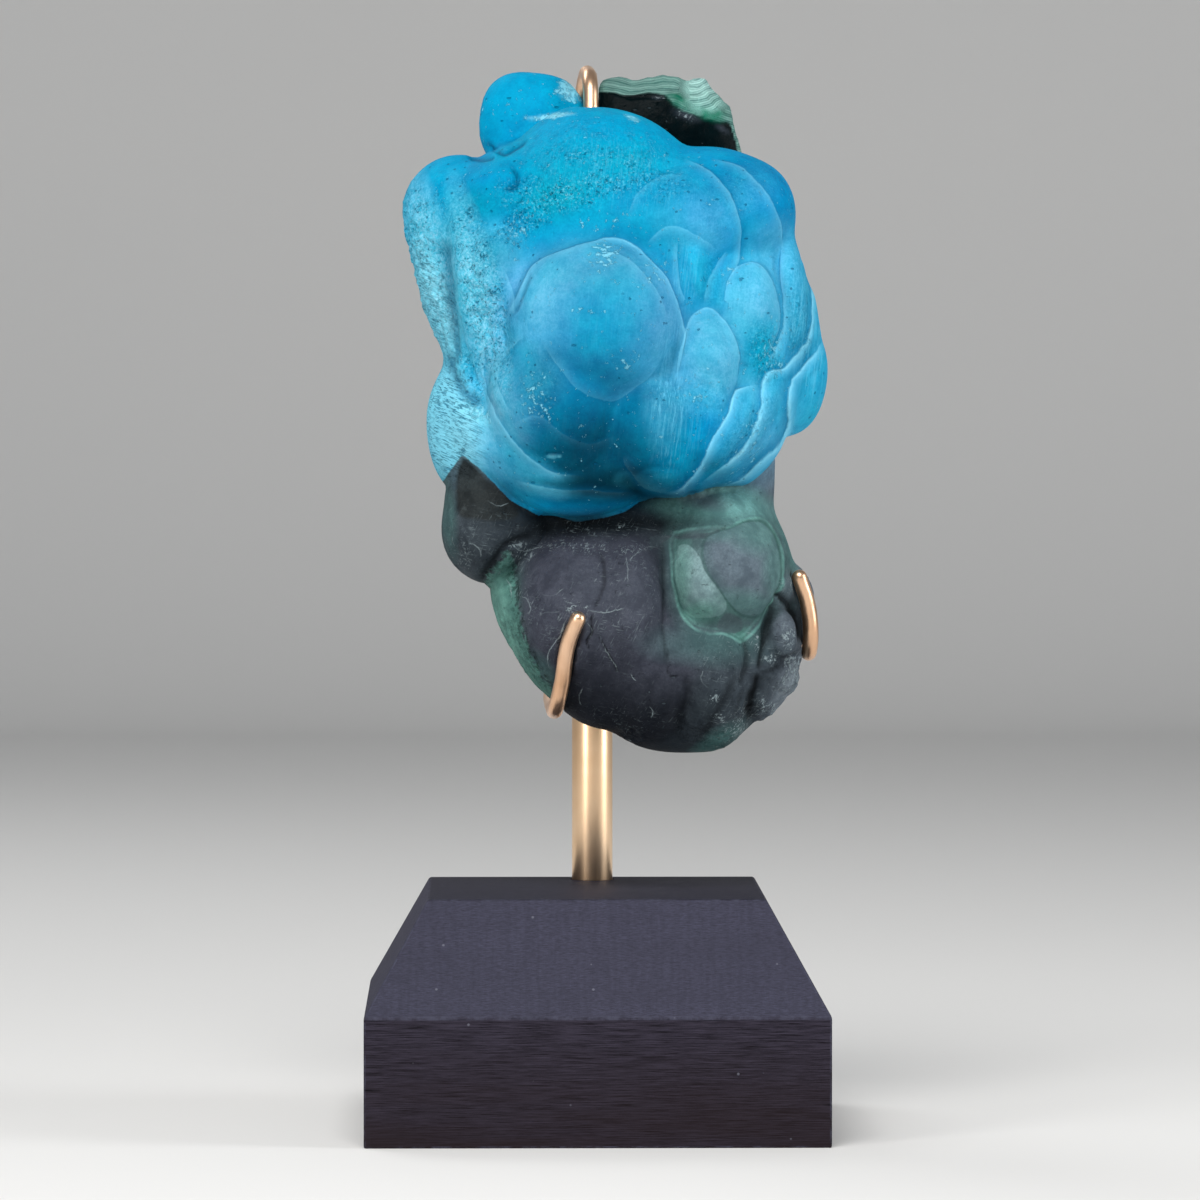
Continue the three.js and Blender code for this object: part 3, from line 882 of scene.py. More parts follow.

# Edges of shells that broke away: the side on the right of each line stands higher, and its edge is
# pale, partly its own colour and partly a painted highlight on the step, with painted shade at its
# foot. Each has the height of its step, how fast it dies away, its paleness and its line.
SHELL_EDGES = [
    (0.5, 2.2, 1.0, [
        (10.4, 98.1), (13.2, 98.9), (15.3, 101.2), (17.3, 105.2), (19.6, 109.4), (20.6, 112.2),
        (21.6, 113.3), (24.6, 113.9)]),
    (0.5, 2.2, 1.0, [
        (15.4, 98.9), (18.5, 101), (21.1, 103.3), (23.4, 106.4), (24.9, 110.2), (25.2, 114), (26.4, 116.2),
        (28.3, 116.7), (30.2, 119), (31.8, 121.7), (32.5, 125.5), (32.4, 130), (31.4, 134)]),
    (0.5, 2.2, 1.0, [
        (19.6, 98.8), (21.9, 100), (24.9, 102.6), (27.4, 105), (28.7, 107.4), (28.9, 110.6), (29.2, 114),
        (30.6, 116.2), (32.9, 119), (34.4, 121)]),
    (0.25, 3.0, 0.7, [
        (-14.4, 122.6), (-12.6, 126.5), (-11, 129.6), (-9, 132.4), (-5, 134.2), (-1, 135.6), (2, 136.4),
        (5, 135.8), (8, 133.2), (10.5, 130), (12.4, 126.5), (13.4, 122), (12.8, 117), (11, 112.4)]),
    (0.1, 2.0, 0.3, [(0, 133.6), (3.6, 133.4), (6.6, 131.4), (9.2, 128), (10.8, 124)]),
    (0.2, 3.0, 0.55, [
        (-15.4, 122.4), (-16.4, 117), (-15.8, 111), (-13.2, 106.6), (-10.2, 103.2), (-6.4, 101),
        (-1.4, 100.2)]),
    (0.2, 2.5, 0.4, [(-12.4, 99.6), (-7.9, 98.5), (-3.4, 98.2), (1.7, 98.0), (6.2, 97.6)]),
    (0.35, 2.5, 0.5, [
        (13.6, 148.2), (17, 146.4), (20.2, 142.6), (21.8, 138), (21.8, 134), (20.8, 129.6)]),
    (0.25, 2.5, 0.4, [(17.4, 148.2), (21.6, 147), (25.6, 143.6), (27.8, 139), (28.2, 133)]),
    (0.35, 2.2, 0.6, [(25.8, 116.8), (27.8, 121), (28.2, 126), (27.8, 131), (28.2, 137)]),
    (0.25, 2.0, 0.5, [
        (12.2, 112), (12.4, 118), (13.4, 122.4), (15.4, 125.2), (18, 125.2), (20.4, 121.6), (21.4, 117.4),
        (21, 113.6)]),
    (0.25, 2.0, 0.5, [
        (19.4, 122.6), (19.4, 127.6), (21.4, 131.8), (24.4, 132.2), (27, 128.4), (27.6, 122.6),
        (26, 117.8)]),
    (0.1, 3.0, 0.2, [
        (11, 120.5), (8.6, 116), (5, 112.6), (2, 111.4), (-3, 113.6), (-6.4, 117.6), (-8.4, 122)]),
    (0.2, 2.0, 0.35, [(11.6, 97.9), (8.3, 98.7), (6.2, 99.9), (4.6, 101.8), (4.2, 103.6)]),
    (0.08, 3.0, 0.2, [(-13.4, 108), (-9, 109.4), (-5, 106.8), (-1, 105.2), (3, 106.4)]),
    (0.12, 3.0, 0.35, [(-10.4, 121.4), (-13.4, 118.8), (-14.4, 114), (-12.6, 109.4)]),
    (0.15, 2.5, 0.35, [(12.6, 136.6), (12.4, 132), (12.9, 128.6), (14, 126.4)]),
    (0.15, 2.5, 0.35, [(16.2, 125.8), (16.8, 129.4), (18.4, 132.4), (19.6, 134.6)]),
    (0.12, 2.5, 0.3, [(7.6, 135.2), (9.6, 137.4), (12.4, 138), (15.4, 136.8), (18.4, 134.6)]),
    (0.08, 2.5, 0.2, [(4.6, 139.4), (6.2, 143.2), (9.8, 145.6), (14, 145.4)]),
    (0.1, 2.5, 0.35, [(-14, 131.5), (-12.6, 127.8), (-12.6, 124.6)]),
]
for height, reach_out, pale, line in SHELL_EDGES:
    near, off, along = beside(line, 6)
    ends = taper(along, 0.12)
    step = 1 / (1 + np.exp(-np.clip(off / 0.16, -30, 30)))
    lift[near] += height * ends * step * np.exp(-np.maximum(off, 0) / reach_out) * facing[near]
    lift[near] -= 0.3 * height * ends * np.exp(-((off + 0.4) / 0.8) ** 2) * facing[near]
edge_off, edge_pale_and_lit = draw_lines([(pale, line) for _, _, pale, line in SHELL_EDGES])

# Dark lines: cracks, grooves and tight creases, each with its half width, darkness and depth.
# Their darkness is painted shade in the sunk line.
CRACKS = [
    (0.35, 0.5, 0.2, [(-9.5, 131), (-11, 127.5), (-13, 124)]),
    (0.8, 0.6, 0.7, [(-23.0, 136.5), (-22.8, 132), (-22.2, 127), (-21.5, 121), (-21.1, 117)]),
    (0.9, 0.6, 0.5, [(-22.3, 119.5), (-21.8, 116), (-20.6, 113.6), (-18.8, 112.2), (-16.6, 110.6)]),
    (0.35, 0.8, 0.6, [(-12.8, 147.4), (-11.9, 146.2), (-11.7, 144.8), (-12.6, 143.6), (-14.4, 143.2)]),
    (0.35, 0.8, 0.5, [(-16.8, 150.6), (-15.4, 149.6), (-13.8, 149.0), (-12.0, 150.1), (-10.4, 151.6)]),
    (0.4, 0.7, 0.5, [(-19.6, 148.6), (-17.4, 148.2), (-15.4, 148.4)]),
    (0.3, 0.7, 0.35, [(-7.8, 103.9), (-6.5, 103.6), (-5.4, 103.8)]),
    (0.3, 0.5, 0.25, [(0.6, 89.5), (1.2, 85.5), (0.9, 82.5), (-0.2, 79.6)]),
    (0.22, 0.9, 0.3, [(-0.2, 79.6), (-0.7, 78), (-0.5, 76.5), (-1.4, 75.1), (-0.8, 73.2)]),
    (0.2, 0.7, 0.2, [(0.3, 76.2), (1.4, 74.0), (2.9, 71.5), (3.4, 70.2)]),
    (0.2, 0.6, 0.2, [(10.7, 74.8), (10.7, 71.2), (11.2, 69.6), (13.4, 69.8)]),
    (0.4, 0.45, 0.2, [(10.4, 90.4), (10.4, 84), (10.3, 77), (10.8, 70.6)]),
    (0.7, 0.7, 0.7, [
        (-17.6, 83.9), (-16.5, 85.8), (-14.7, 88.3), (-13.5, 89.8), (-10.6, 90.8), (-8.6, 91.4)]),
    (0.7, 0.9, 0.9, [(28.2, 81.5), (26.9, 79.5), (26.0, 77.3), (25.7, 74.4), (25.2, 72), (24.9, 70.1)]),
    (0.7, 1.0, 0.9, [(26.9, 82.2), (28.6, 81.6), (30.5, 79.6), (31.1, 77), (31.2, 74.6)]),
    (0.5, 0.5, 0.3, [(24.9, 70.1), (26.7, 70.7), (28.8, 72.4), (31.0, 74.0)]),
    (0.9, 1.0, 1.0, [(24.9, 70.6), (24.5, 67.6), (23.9, 65.7), (23.5, 62.0)]),
    (0.5, 0.6, 0.4, [(22.4, 75.6), (22.8, 72), (22.0, 68)]),
    (0.6, 0.3, 0.3, [(13.6, 70), (14.2, 67), (13.6, 64), (12.4, 60.6)]),
    (0.8, 0.5, 0.5, [(21, 70), (19.8, 66), (17.6, 62.4), (15.6, 59.8)]),
]
# Hairs of pale mineral fibre caught on the dark part
HAIRS = [(0.75, line) for line in (
    [(-4.5, 78.6), (-5.4, 76.1), (-6.6, 74.2), (-7.4, 72.4), (-7.1, 70.8)],
    [(0.5, 76.1), (1.4, 73.9), (3.0, 71.4), (3.4, 70.2)],
    [(-1.4, 78.3), (-0.4, 76.7), (-1.4, 75.2)],
    [(-5.4, 79.5), (-6.6, 79.5), (-8.5, 79.2)],
    [(-1.4, 80.1), (1.7, 79.5), (4.5, 80.1)],
    [(-2.1, 68), (-2.5, 66.4), (-2.0, 65.3)],
    [(3.9, 60.2), (5.8, 59.8), (7.6, 59.4)],
    [(-21.2, 91.4), (-21.3, 90.4), (-20.9, 89.5)],
    [(-12.2, 89.2), (-10.6, 88.7), (-8.2, 89.5)],
    [(-11.3, 82.1), (-10.3, 81.5), (-10.0, 79.9), (-10.6, 79.0)],
    [(4.5, 88.3), (4.7, 86.4), (5.0, 83.9)],
    [(4.7, 87.5), (6.6, 88.7), (8.6, 89.2), (10.5, 88.9)],
    [(-13.6, 85.0), (-12.9, 83.2), (-12.6, 81.2)],
    [(-4.9, 83.0), (-6.4, 82.0), (-8.6, 82.3)],
    [(5.2, 70.2), (5.6, 69.4), (6.4, 69.2)], [(8.0, 65.4), (8.6, 64.6), (8.2, 63.4)],
    [(21.9, 73.2), (22.4, 71.6), (21.8, 70.4), (22.4, 69.0)], [(16.4, 71.0), (16.0, 69.4), (17.2, 68.0)],
    [(-16.6, 96.6), (-14.8, 95.6), (-13.2, 96.2)], [(-19.0, 90.2), (-17.6, 89.4), (-17.2, 88.0)],
)]
hair_off, hair_amount = draw_lines(HAIRS)

crack_far = np.full(len(points), 3.0, np.float32)
crack_shade = np.zeros(len(points), np.float32)
for half_width, dark, sunk, line in CRACKS:
    near, off, along = beside(line, 3)
    lift[near] -= sunk * taper(along) * np.exp(-(off / (half_width * 1.3)) ** 2) * facing[near]
    far = np.abs(off) / half_width
    closer = far < crack_far[near]
    crack_far[near[closer]] = far[closer]
    crack_shade[near[closer]] = dark * (taper(along) * facing[near])[closer]


def from_middle(x, z, half_width, half_height, lean):
    """How far each point lies from a leaning oval's middle, as shares of its half sizes."""
    across, upward = leaned(seen_x - x, seen_z - z, lean)
    return across / half_width, upward / half_height


def patch(x, z, half_width, half_height, lean, edge):
    """How much each point belongs to a leaning oval on the front, with a soft edge."""
    away = np.hypot(*from_middle(x, z, half_width, half_height, lean))
    return np.clip((1 + edge / 2 - away) / edge, 0, 1) * facing


def strongest(edge, patches):
    """The strongest of several patches at each point: x, z, half sizes, lean and amount."""
    result = np.zeros(len(points), np.float32)
    for *oval, amount in patches:
        result = np.maximum(result, patch(*oval, edge) * amount)
    return result


# Where the blue is spongy, and where its edge is fibrous
crust = strongest(0.8, (
    (-17.2, 128, 3.0, 14, -12, 1.0), (-25.8, 131, 3.4, 14, -12, 0.9), (-10, 139.6, 6.5, 2.4, -38, 0.8),
    (-18.8, 115, 2.4, 5, -12, 0.9), (25.4, 118.6, 2.4, 4.6, -12, 0.7), (30.4, 123, 1.8, 6, -8, 0.5),
    (17.6, 130.4, 1.4, 4, 0, 0.4), (-2, 143.5, 10, 2.6, -14, 0.8), (-10, 143.4, 5, 3, -8, 0.6),
    (0, 148, 12, 7, 0, 0.4), (-22, 139, 5, 6, 0, 0.4), (22, 143, 6, 4, -30, 0.3),
    (-9, 113.6, 3.6, 4.4, 0, 0.35), (24.4, 108, 1.4, 6, 26, 0.45), (20.6, 105, 1.4, 6, 32, 0.4),
    (6, 146, 8, 3, 20, 0.6), (16, 111, 4, 4, 0, 0.25), (29.6, 130, 1.6, 5, -4, 0.3),
    (29.6, 70, 3.4, 4, 25, 0.9), (24, 64.5, 4, 2.4, 35, 0.8), (17, 60.5, 6, 2, 15, 0.7),
    (28, 76, 2, 4, 0, 0.5), (6, 60.6, 3, 1.6, 0, 0.6), (-21, 88, 2, 5, 20, 0.5),
    (-12, 74, 2.4, 8, -28, 0.6),
))
fibre = np.maximum(
    patch(-22.5, 108, 4.6, 9.5, -12, 0.6), 0.7 * patch(-24.3, 126, 2.2, 9, -14, 0.6)
)
streaked = strongest(0.9, (
    (11.2, 112, 2.6, 11, 4, 0.8), (13, 107, 4, 6, 20, 0.25), (31.6, 121, 3, 9, -8, 0.9),
    (13.4, 131, 2.6, 5, -8, 0.45), (22, 129, 3, 5, 0, 0.3), (4, 146, 12, 5, 20, 0.3),
    (-3, 104, 9, 5, 0, 0.12), (1, 125, 8, 8, 0, 0.12),
))
rough = np.array([
    noise.fractal(Vector(point) * 0.9, 0.9, 2.1, 4) if amount > 0.02 else 0
    for point, amount in zip(points, crust)], np.float32)
lift += np.clip(crust - 0.2, 0, 1) * np.clip(rough, -0.9, 0.7) * 0.7

# Low domes that swell out of the rock, each with a crisp foot
LOW_DOMES = [
    (23.4, 124.8, 4.4, 8.0, 4, 0.9), (17.1, 117.8, 4.6, 7.4, -8, 0.8), (30.0, 126, 2.6, 9.0, -6, 0.5),
    (14.2, 139.5, 8.5, 7.4, 12, 0.5), (14.5, 110.6, 5.4, 5.6, 20, 0.4), (0.6, 124, 11.6, 11.9, 0, 0.4),
    (-5.6, 111.5, 9.6, 10.5, 0, 0.4), (7.8, 108, 6.4, 7.4, 0, 0.3), (9.6, 98.6, 4.2, 2.9, 0, 0.6),
    (28.2, 76.4, 2.3, 3.8, -12, 1.2), (29.4, 82.6, 1.6, 2.4, 0, 0.6), (11.0, 66.4, 2.8, 3.9, 10, 0.3),
    (-17.4, 124.5, 3.0, 14, -11, 0.9), (-24.8, 130, 2.4, 12, -12, 0.4), (28.4, 69.6, 3.4, 2.0, 40, 0.7),
    (-18.4, 144.8, 6.6, 3.6, -14, 0.3), (-17.2, 91.6, 4.6, 4.4, 0, 0.5),
    (21.9, 86, 4.8, 6.6, -12, 0.35), (14.9, 82.6, 2.6, 6.0, -20, 0.3),
]
for *oval, height in LOW_DOMES:
    across, upward = from_middle(*oval)
    lift += height * np.sqrt(np.clip(1 - across ** 2 - upward ** 2, 0, 1)) * facing
swell = np.array([noise.noise(Vector(point) * 0.11) for point in points], np.float32)
lift += swell * 0.25
broken = np.clip(depth / 0.5, 0, 1)

# The slab's own skin: the part of the rock that lies nearest to it, high on the right
slab_far = distances_outside(points, SLAB)[0][0]
slab_near = np.clip((1.2 - np.abs(slab_far)) / 0.4, 0, 1) * (points[:, 2] > 140) * (points[:, 0] > -1)
slab_near = np.maximum(slab_near, broken * (points[:, 2] > 150) * (points[:, 0] > -1.5))
blue_near = distances_outside(points, BLUE)[0].min(axis=0)
slab_near *= np.clip((blue_near - slab_far) / 0.4 + 0.6, 0, 1)
chips = np.array([
    noise.noise(Vector(point) * 0.33) + 0.5 * noise.noise(Vector(point) * 0.8) if amount > 0.01 else 0
    for point, amount in zip(points, np.maximum(broken, slab_near))], np.float32)
lift += chips * np.maximum(broken * 0.4, slab_near * 0.15)
points += way * lift[:, None]

# The slab's broken edge rises and falls along its length
edge_x = (0, 2.9, 5.2, 7.5, 10.2, 12.8, 13.7, 14.8, 16.4, 17.8, 19, 20.5)
edge_z = (0, 0.2, -0.3, 0, 0.4, 0, -0.4, 0.1, 0.3, -0.1, 0, 0)
wave = np.interp(seen_x, edge_x, edge_z) * np.clip((points[:, 2] - 155) / 5, 0, 1)
points[:, 2] += wave * (slab_near > 0.3)

# The knob's top is nearly flat
on_knob = np.clip((points[:, 2] - 152) / 7, 0, 1) * np.clip((-1.2 - seen_x) / 3, 0, 1) * (slab_near < 0.3)
points[:, 2] += on_knob * (1 + 0.5 * np.clip((-9 - seen_x) / 5, 0, 1))

# The rock is eased away from the wires, which press close but don't cut it
wire_points = [*top_middle, *left_middle, *right_middle]
tree = kdtree.KDTree(len(wire_points))
for index, place in enumerate(wire_points):
    tree.insert(place / MM, index)
tree.balance()
CLEAR_OF_WIRE = WIRE_RADIUS / MM + 0.4
EASING_REACH = CLEAR_OF_WIRE + 2.5
for index, point in enumerate(points):
    place, _, near = tree.find(Vector(point))
    if near < EASING_REACH:
        outward = Vector(way[index])
        away = Vector(point) - place
        height = away.dot(outward)
        aside = (away - outward * height).length
        if aside < CLEAR_OF_WIRE:
            sunk = height + math.sqrt(CLEAR_OF_WIRE ** 2 - aside ** 2)
            if sunk > 0:
                points[index] -= way[index] * sunk

rock.data.vertices.foreach_set("co", (points * MM).ravel())
rock.data.update()
bpy.ops.object.select_all(action="DESELECT")
rock.select_set(True)
bpy.context.view_layer.objects.active = rock
bpy.ops.object.shade_smooth()

# Tones of the growths, as they look in plain light, and how far they run into each other. Among
# the tones laid over them, the darkest blue is painted shade, the near-black and coal tones are
# black stone in some places and painted shade in others, and the grey haze for the glass is a
# painted reflection.
TONE_BLEND = 0.8
TONES = {
    "sky": linear(0, 152, 194),
    "turquoise": linear(0, 152, 184),
    "azure": linear(0, 134, 184),
    "sea green": linear(20, 164, 168),
    "bright": linear(40, 164, 204),
    "pale": linear(100, 178, 212),
    "hazy": linear(70, 152, 190),
    "lilac": linear(100, 164, 208),
    "white": linear(160, 216, 236),
    "deep": linear(0, 108, 150),
    "painted shade blue": linear(0, 52, 72),
    "grey blue": linear(52, 130, 158),
    "broken green": linear(60, 120, 105),
    "black and painted shade": linear(0, 7, 9),
    "slate": linear(66, 75, 82),
    "plum": linear(66, 69, 80),
    "sage": linear(104, 136, 140),
    "halo green": linear(74, 112, 110),
    "olive": linear(92, 138, 134),
    "pale olive": linear(116, 168, 164),
    "ash": linear(104, 114, 124),
    "mint": linear(104, 156, 144),
    "coal black and painted shade": linear(40, 46, 50),
    "pale dust": linear(140, 152, 158),
    "malachite": linear(8, 112, 86),
    "pitch": linear(0, 14, 17),
    "pale crust": linear(126, 206, 228),
    "grey malachite": linear(86, 132, 124),
    "lens": linear(128, 186, 176),
    "pale malachite": linear(160, 210, 204),
    "painted reflection on glass": linear(44, 52, 60),
}


def blended_tone(points, lobes):
    """The tone at each point, run together from the growths nearest to it, and their distance."""
    far, _ = distances_outside(points, lobes)
    nearest = far.min(axis=0)
    weight = np.exp(-(far - nearest) / TONE_BLEND)
    tones = np.array([TONES[lobe[-1]][:3] for lobe in lobes.values()], np.float32)
    return np.einsum("rp,rc->pc", weight, tones) / weight.sum(axis=0)[:, None], nearest


blue_tone, blue_far = blended_tone(points, BLUE)
dark_tone, dark_far = blended_tone(points, {**DARK, **FLANK, **SLAB})
dark_side = np.clip(blue_far - dark_far, -3, 3)
near, seam, along = beside([
    (-24, 99), (-22.6, 100), (-21.7, 101.6), (-20.2, 103.4), (-18.7, 102.3), (-16.5, 100.1), (-14.3, 97.8),
    (-11.9, 95.9), (-9.4, 94.6), (-6.3, 93.9), (-2.6, 93.7), (0.5, 94.3)], 4)
drawn = np.clip((-7 - seen_x[near]) / 3, 0, 1) * facing[near]
dark_side[near] = dark_side[near] * (1 - drawn) + np.clip(seam, -3, 3) * drawn
in_slab = slab_near > 0.3
dark_side = np.maximum(dark_side, np.clip((slab_near - 0.3) * 8, -3, 3))

# Clouds, stains and worn places, with some painted light and shade: the darkest blue clouds low
# in the middle of the blue are painted shade, and the pale and lilac clouds on the domes are partly
# their own colour, partly a painted sheen. Each has x, z, half width, half height, lean, tone,
# strength, softness
STAINS = [
    (7.5, 142.2, 5.5, 2.6, -10, "bright", 0.5, 1.2), (15.5, 139.2, 4.4, 3.6, 20, "lilac", 0.5, 1.3),
    (-16.5, 141.6, 5, 2.4, 0, "turquoise", 0.8, 1.2), (0, 146.4, 11, 4.6, 6, "turquoise", 0.5, 1.3),
    (-6, 143, 5, 3, -20, "sea green", 0.4, 1.3), (4, 148, 5, 2.4, 0, "sea green", 0.3, 1.3),
    (-19, 138.4, 3, 4, 0, "turquoise", 0.6, 1.3), (-7.5, 127.5, 3.8, 4.4, 10, "pale", 0.9, 1.3),
    (8.0, 125.5, 4.0, 4.0, -20, "lilac", 0.6, 1.3), (-11.6, 129, 1.8, 5, 30, "lilac", 0.7, 1.2),
    (0, 131, 6, 2.6, 0, "pale", 0.5, 1.3), (1, 122, 6, 6, 0, "azure", 0.8, 1.4),
    (-1, 115.4, 5, 4.4, 0, "deep", 0.8, 1.3), (-9, 115.0, 3.6, 3.8, 0, "grey blue", 0.7, 1.3),
    (-4, 106, 9, 5, 0, "deep", 0.8, 1.3), (-1.6, 104, 7, 5, 0, "painted shade blue", 0.7, 1.4),
    (0, 98.8, 9.6, 2.8, 0, "painted shade blue", 0.9, 1.1), (5.6, 99.4, 3, 2.4, 0, "painted shade blue", 0.5, 1.2),
    (-6.7, 103.4, 0.75, 0.24, 0, "white", 0.7, 0.8), (-5.6, 103.4, 0.3, 0.16, 0, "white", 0.5, 0.8),
    (-3.6, 157.9, 1.7, 1.2, -20, "white", 0.6, 0.9), (-5.6, 159.9, 0.6, 0.35, 20, "pale", 0.8, 0.8),
    (5.7, 154.4, 1.0, 0.35, 20, "white", 0.7, 0.8), (-7, 154.3, 3.0, 0.32, -4, "white", 0.8, 0.9),
    (-13.6, 149, 1.9, 0.9, 0, "sky", 0.9, 0.8), (3, 97.0, 16, 3.4, 0, "painted shade blue", 0.5, 1.4),
    (2, 103, 8, 3.6, 0, "painted shade blue", 0.55, 1.4), (4.3, 99.6, 1.6, 1.3, 0, "grey blue", 0.4, 0.6),
    (9.5, 99.6, 3.0, 1.4, 0, "bright", 0.4, 1.0), (23.2, 127, 3.4, 4.6, 5, "pale", 0.9, 1.1),
    (17, 121, 3.4, 3.4, -8, "pale", 0.95, 1.1), (17.4, 116.4, 2.2, 1.6, 0, "grey blue", 0.4, 1.3),
    (22.5, 143, 4, 3, -20, "pale", 0.3, 1.2), (16.6, 114, 5, 3.4, 0, "pale", 0.6, 1.3),
    (10.8, 114, 2.6, 7, 4, "pale", 0.6, 1.3), (26.6, 134, 3, 4, -8, "pale", 0.6, 1.3),
    (14, 143, 8, 3.4, -10, "azure", 0.5, 1.3), (-10, 100.6, 4.6, 2, 30, "pale", 0.7, 1.1),
    (25.4, 113.6, 2, 2.4, 0, "pale", 0.7, 1.1), (-20.4, 122, 5, 9, -12, "pale", 0.5, 1.3),
    (-13.6, 112.6, 3.4, 7, -10, "pale", 0.35, 1.3), (-24.8, 131, 2.8, 12, -12, "white", 0.8, 1.2),
    (-18.6, 109.6, 3.3, 0.9, 33, "pale crust", 0.95, 0.5),
    (-14.8, 105.8, 2.4, 3.4, -20, "bright", 0.7, 1.0), (-17.6, 127, 2.4, 13, -12, "white", 0.7, 1.2),
    (-18.4, 106.6, 5.5, 6.4, 15, "white", 0.4, 1.2), (-10, 101.4, 6, 2.0, 26, "bright", 0.5, 1.0),
    (26, 109, 5, 9, 25, "pale", 0.55, 1.2), (31, 113.6, 4, 6.5, 10, "bright", 0.6, 1.2),
    (30, 127, 3, 9, -6, "pale", 0.5, 1.2), (25.2, 118.6, 2.2, 4.4, -12, "turquoise", 0.9, 1.1),
    (14.6, 130.6, 2.4, 4.4, 0, "bright", 0.6, 1.2), (-4, 147, 9, 3, 10, "turquoise", 0.7, 1.3),
    (-13, 136, 5, 4, 0, "turquoise", 0.5, 1.3), (-22.6, 95, 1.4, 6.5, -8, "halo green", 0.6, 0.9),
    (-17, 90.4, 4.4, 3.6, 0, "coal black and painted shade", 0.4, 1.2), (-16, 98, 6, 4, 0, "coal black and painted shade", 0.6, 1.2),
    (21.5, 96.0, 4.6, 2.2, 10, "pale olive", 1.0, 1.2), (14.6, 94.8, 5.4, 2.0, 10, "olive", 0.8, 1.2),
    # Painted shade: the dark and near-black clouds where the blue overhangs the dark part, and those low on
    # the dark part
    (16.4, 96.4, 3, 1.2, 10, "ash", 0.6, 1.2), (0, 93.0, 14, 1.8, 0, "coal black and painted shade", 0.8, 1.0),
    (0, 92.8, 12, 1.1, 0, "black and painted shade", 0.5, 1.2), (0, 61, 16, 6, 0, "black and painted shade", 0.6, 1.6),
    (-3, 67, 7, 7, 0, "black and painted shade", 0.45, 1.5), (9, 64.5, 6, 5.5, 0, "black and painted shade", 0.5, 1.5),
    (19, 63, 6, 3, -28, "slate", 0.4, 1.0), (30, 69.5, 2.4, 3.0, 25, "ash", 0.7, 0.9),
    (18, 59.4, 5, 1.4, -34, "halo green", 0.8, 1.0), (-8, 69.5, 1.8, 4, -30, "halo green", 0.5, 0.9),
    (4, 82, 10, 6, 0, "ash", 0.15, 1.2), (17, 68, 7, 6, 0, "black and painted shade", 0.2, 1.4),
    (18, 74.8, 8, 2.6, 0, "halo green", 0.5, 1.3), (29.3, 83, 1.4, 2.4, 0, "ash", 0.8, 0.9),
    (28.4, 76.6, 2.2, 3.6, -10, "ash", 0.6, 1.2), (30.4, 68.6, 2.4, 3.4, 30, "pale dust", 0.5, 1.0),
]


def stain(tone, share, name):
    """Lays a share of a named tone over a tone."""
    share = share[:, None]
    return tone * (1 - share) + np.array(TONES[name][:3], np.float32) * share


for *oval, name, strength, edge in STAINS:
    share = patch(*oval, edge) * strength
    blue_tone, dark_tone = stain(blue_tone, share, name), stain(dark_tone, share, name)

# Painted shade and painted light: where the blue is made darker or lighter than its growths, as a
# share of their tone
PAINTED_SHADE_AND_LIGHT = [
    (-3.6, 101.4, 6.2, 2.0, 14, 0.74), (-4.6, 98.8, 5.4, 1.0, 4, 0.45), (5.4, 98.9, 4.4, 1.8, 0, 0.4),
    (12.6, 98.6, 5.4, 2.0, 14, 0.62), (-2.4, 95.6, 10, 1.7, 0, 1.5), (22, 102, 3, 3, 30, 0.85),
    (2, 110, 9, 5, 0, 0.82), (17.2, 101.8, 3.2, 1.8, 35, 0.5), (10.4, 112, 4.4, 4, 0, 0.8),
    (7.9, 116.4, 2, 1.6, 0, 1.15), (3.5, 125.5, 9, 7, 0, 0.84), (5.5, 137, 5, 4, -10, 0.82),
    (19, 143.8, 6, 3, -20, 0.82), (-15.5, 133.4, 2.4, 3, 0, 0.8), (19.5, 122.5, 5.5, 4, 0, 0.84),
    (-10.3, 121, 2.6, 2.4, 0, 1.2), (-13.6, 98.6, 5.2, 2.0, 28, 1.6), (-19.6, 101.6, 2.4, 3.4, 0, 1.2),
    (-19.6, 114, 2.6, 3.4, 0, 1.15), (-1, 130.4, 6, 2.2, 0, 0.88), (26, 118.8, 2.2, 3.8, 0, 1.25),
    (-12.5, 139, 4, 2.4, -10, 1.1),
]
for *oval, amount in PAINTED_SHADE_AND_LIGHT:
    blue_tone *= 1 + (amount - 1) * patch(*oval, 1.3)[:, None]

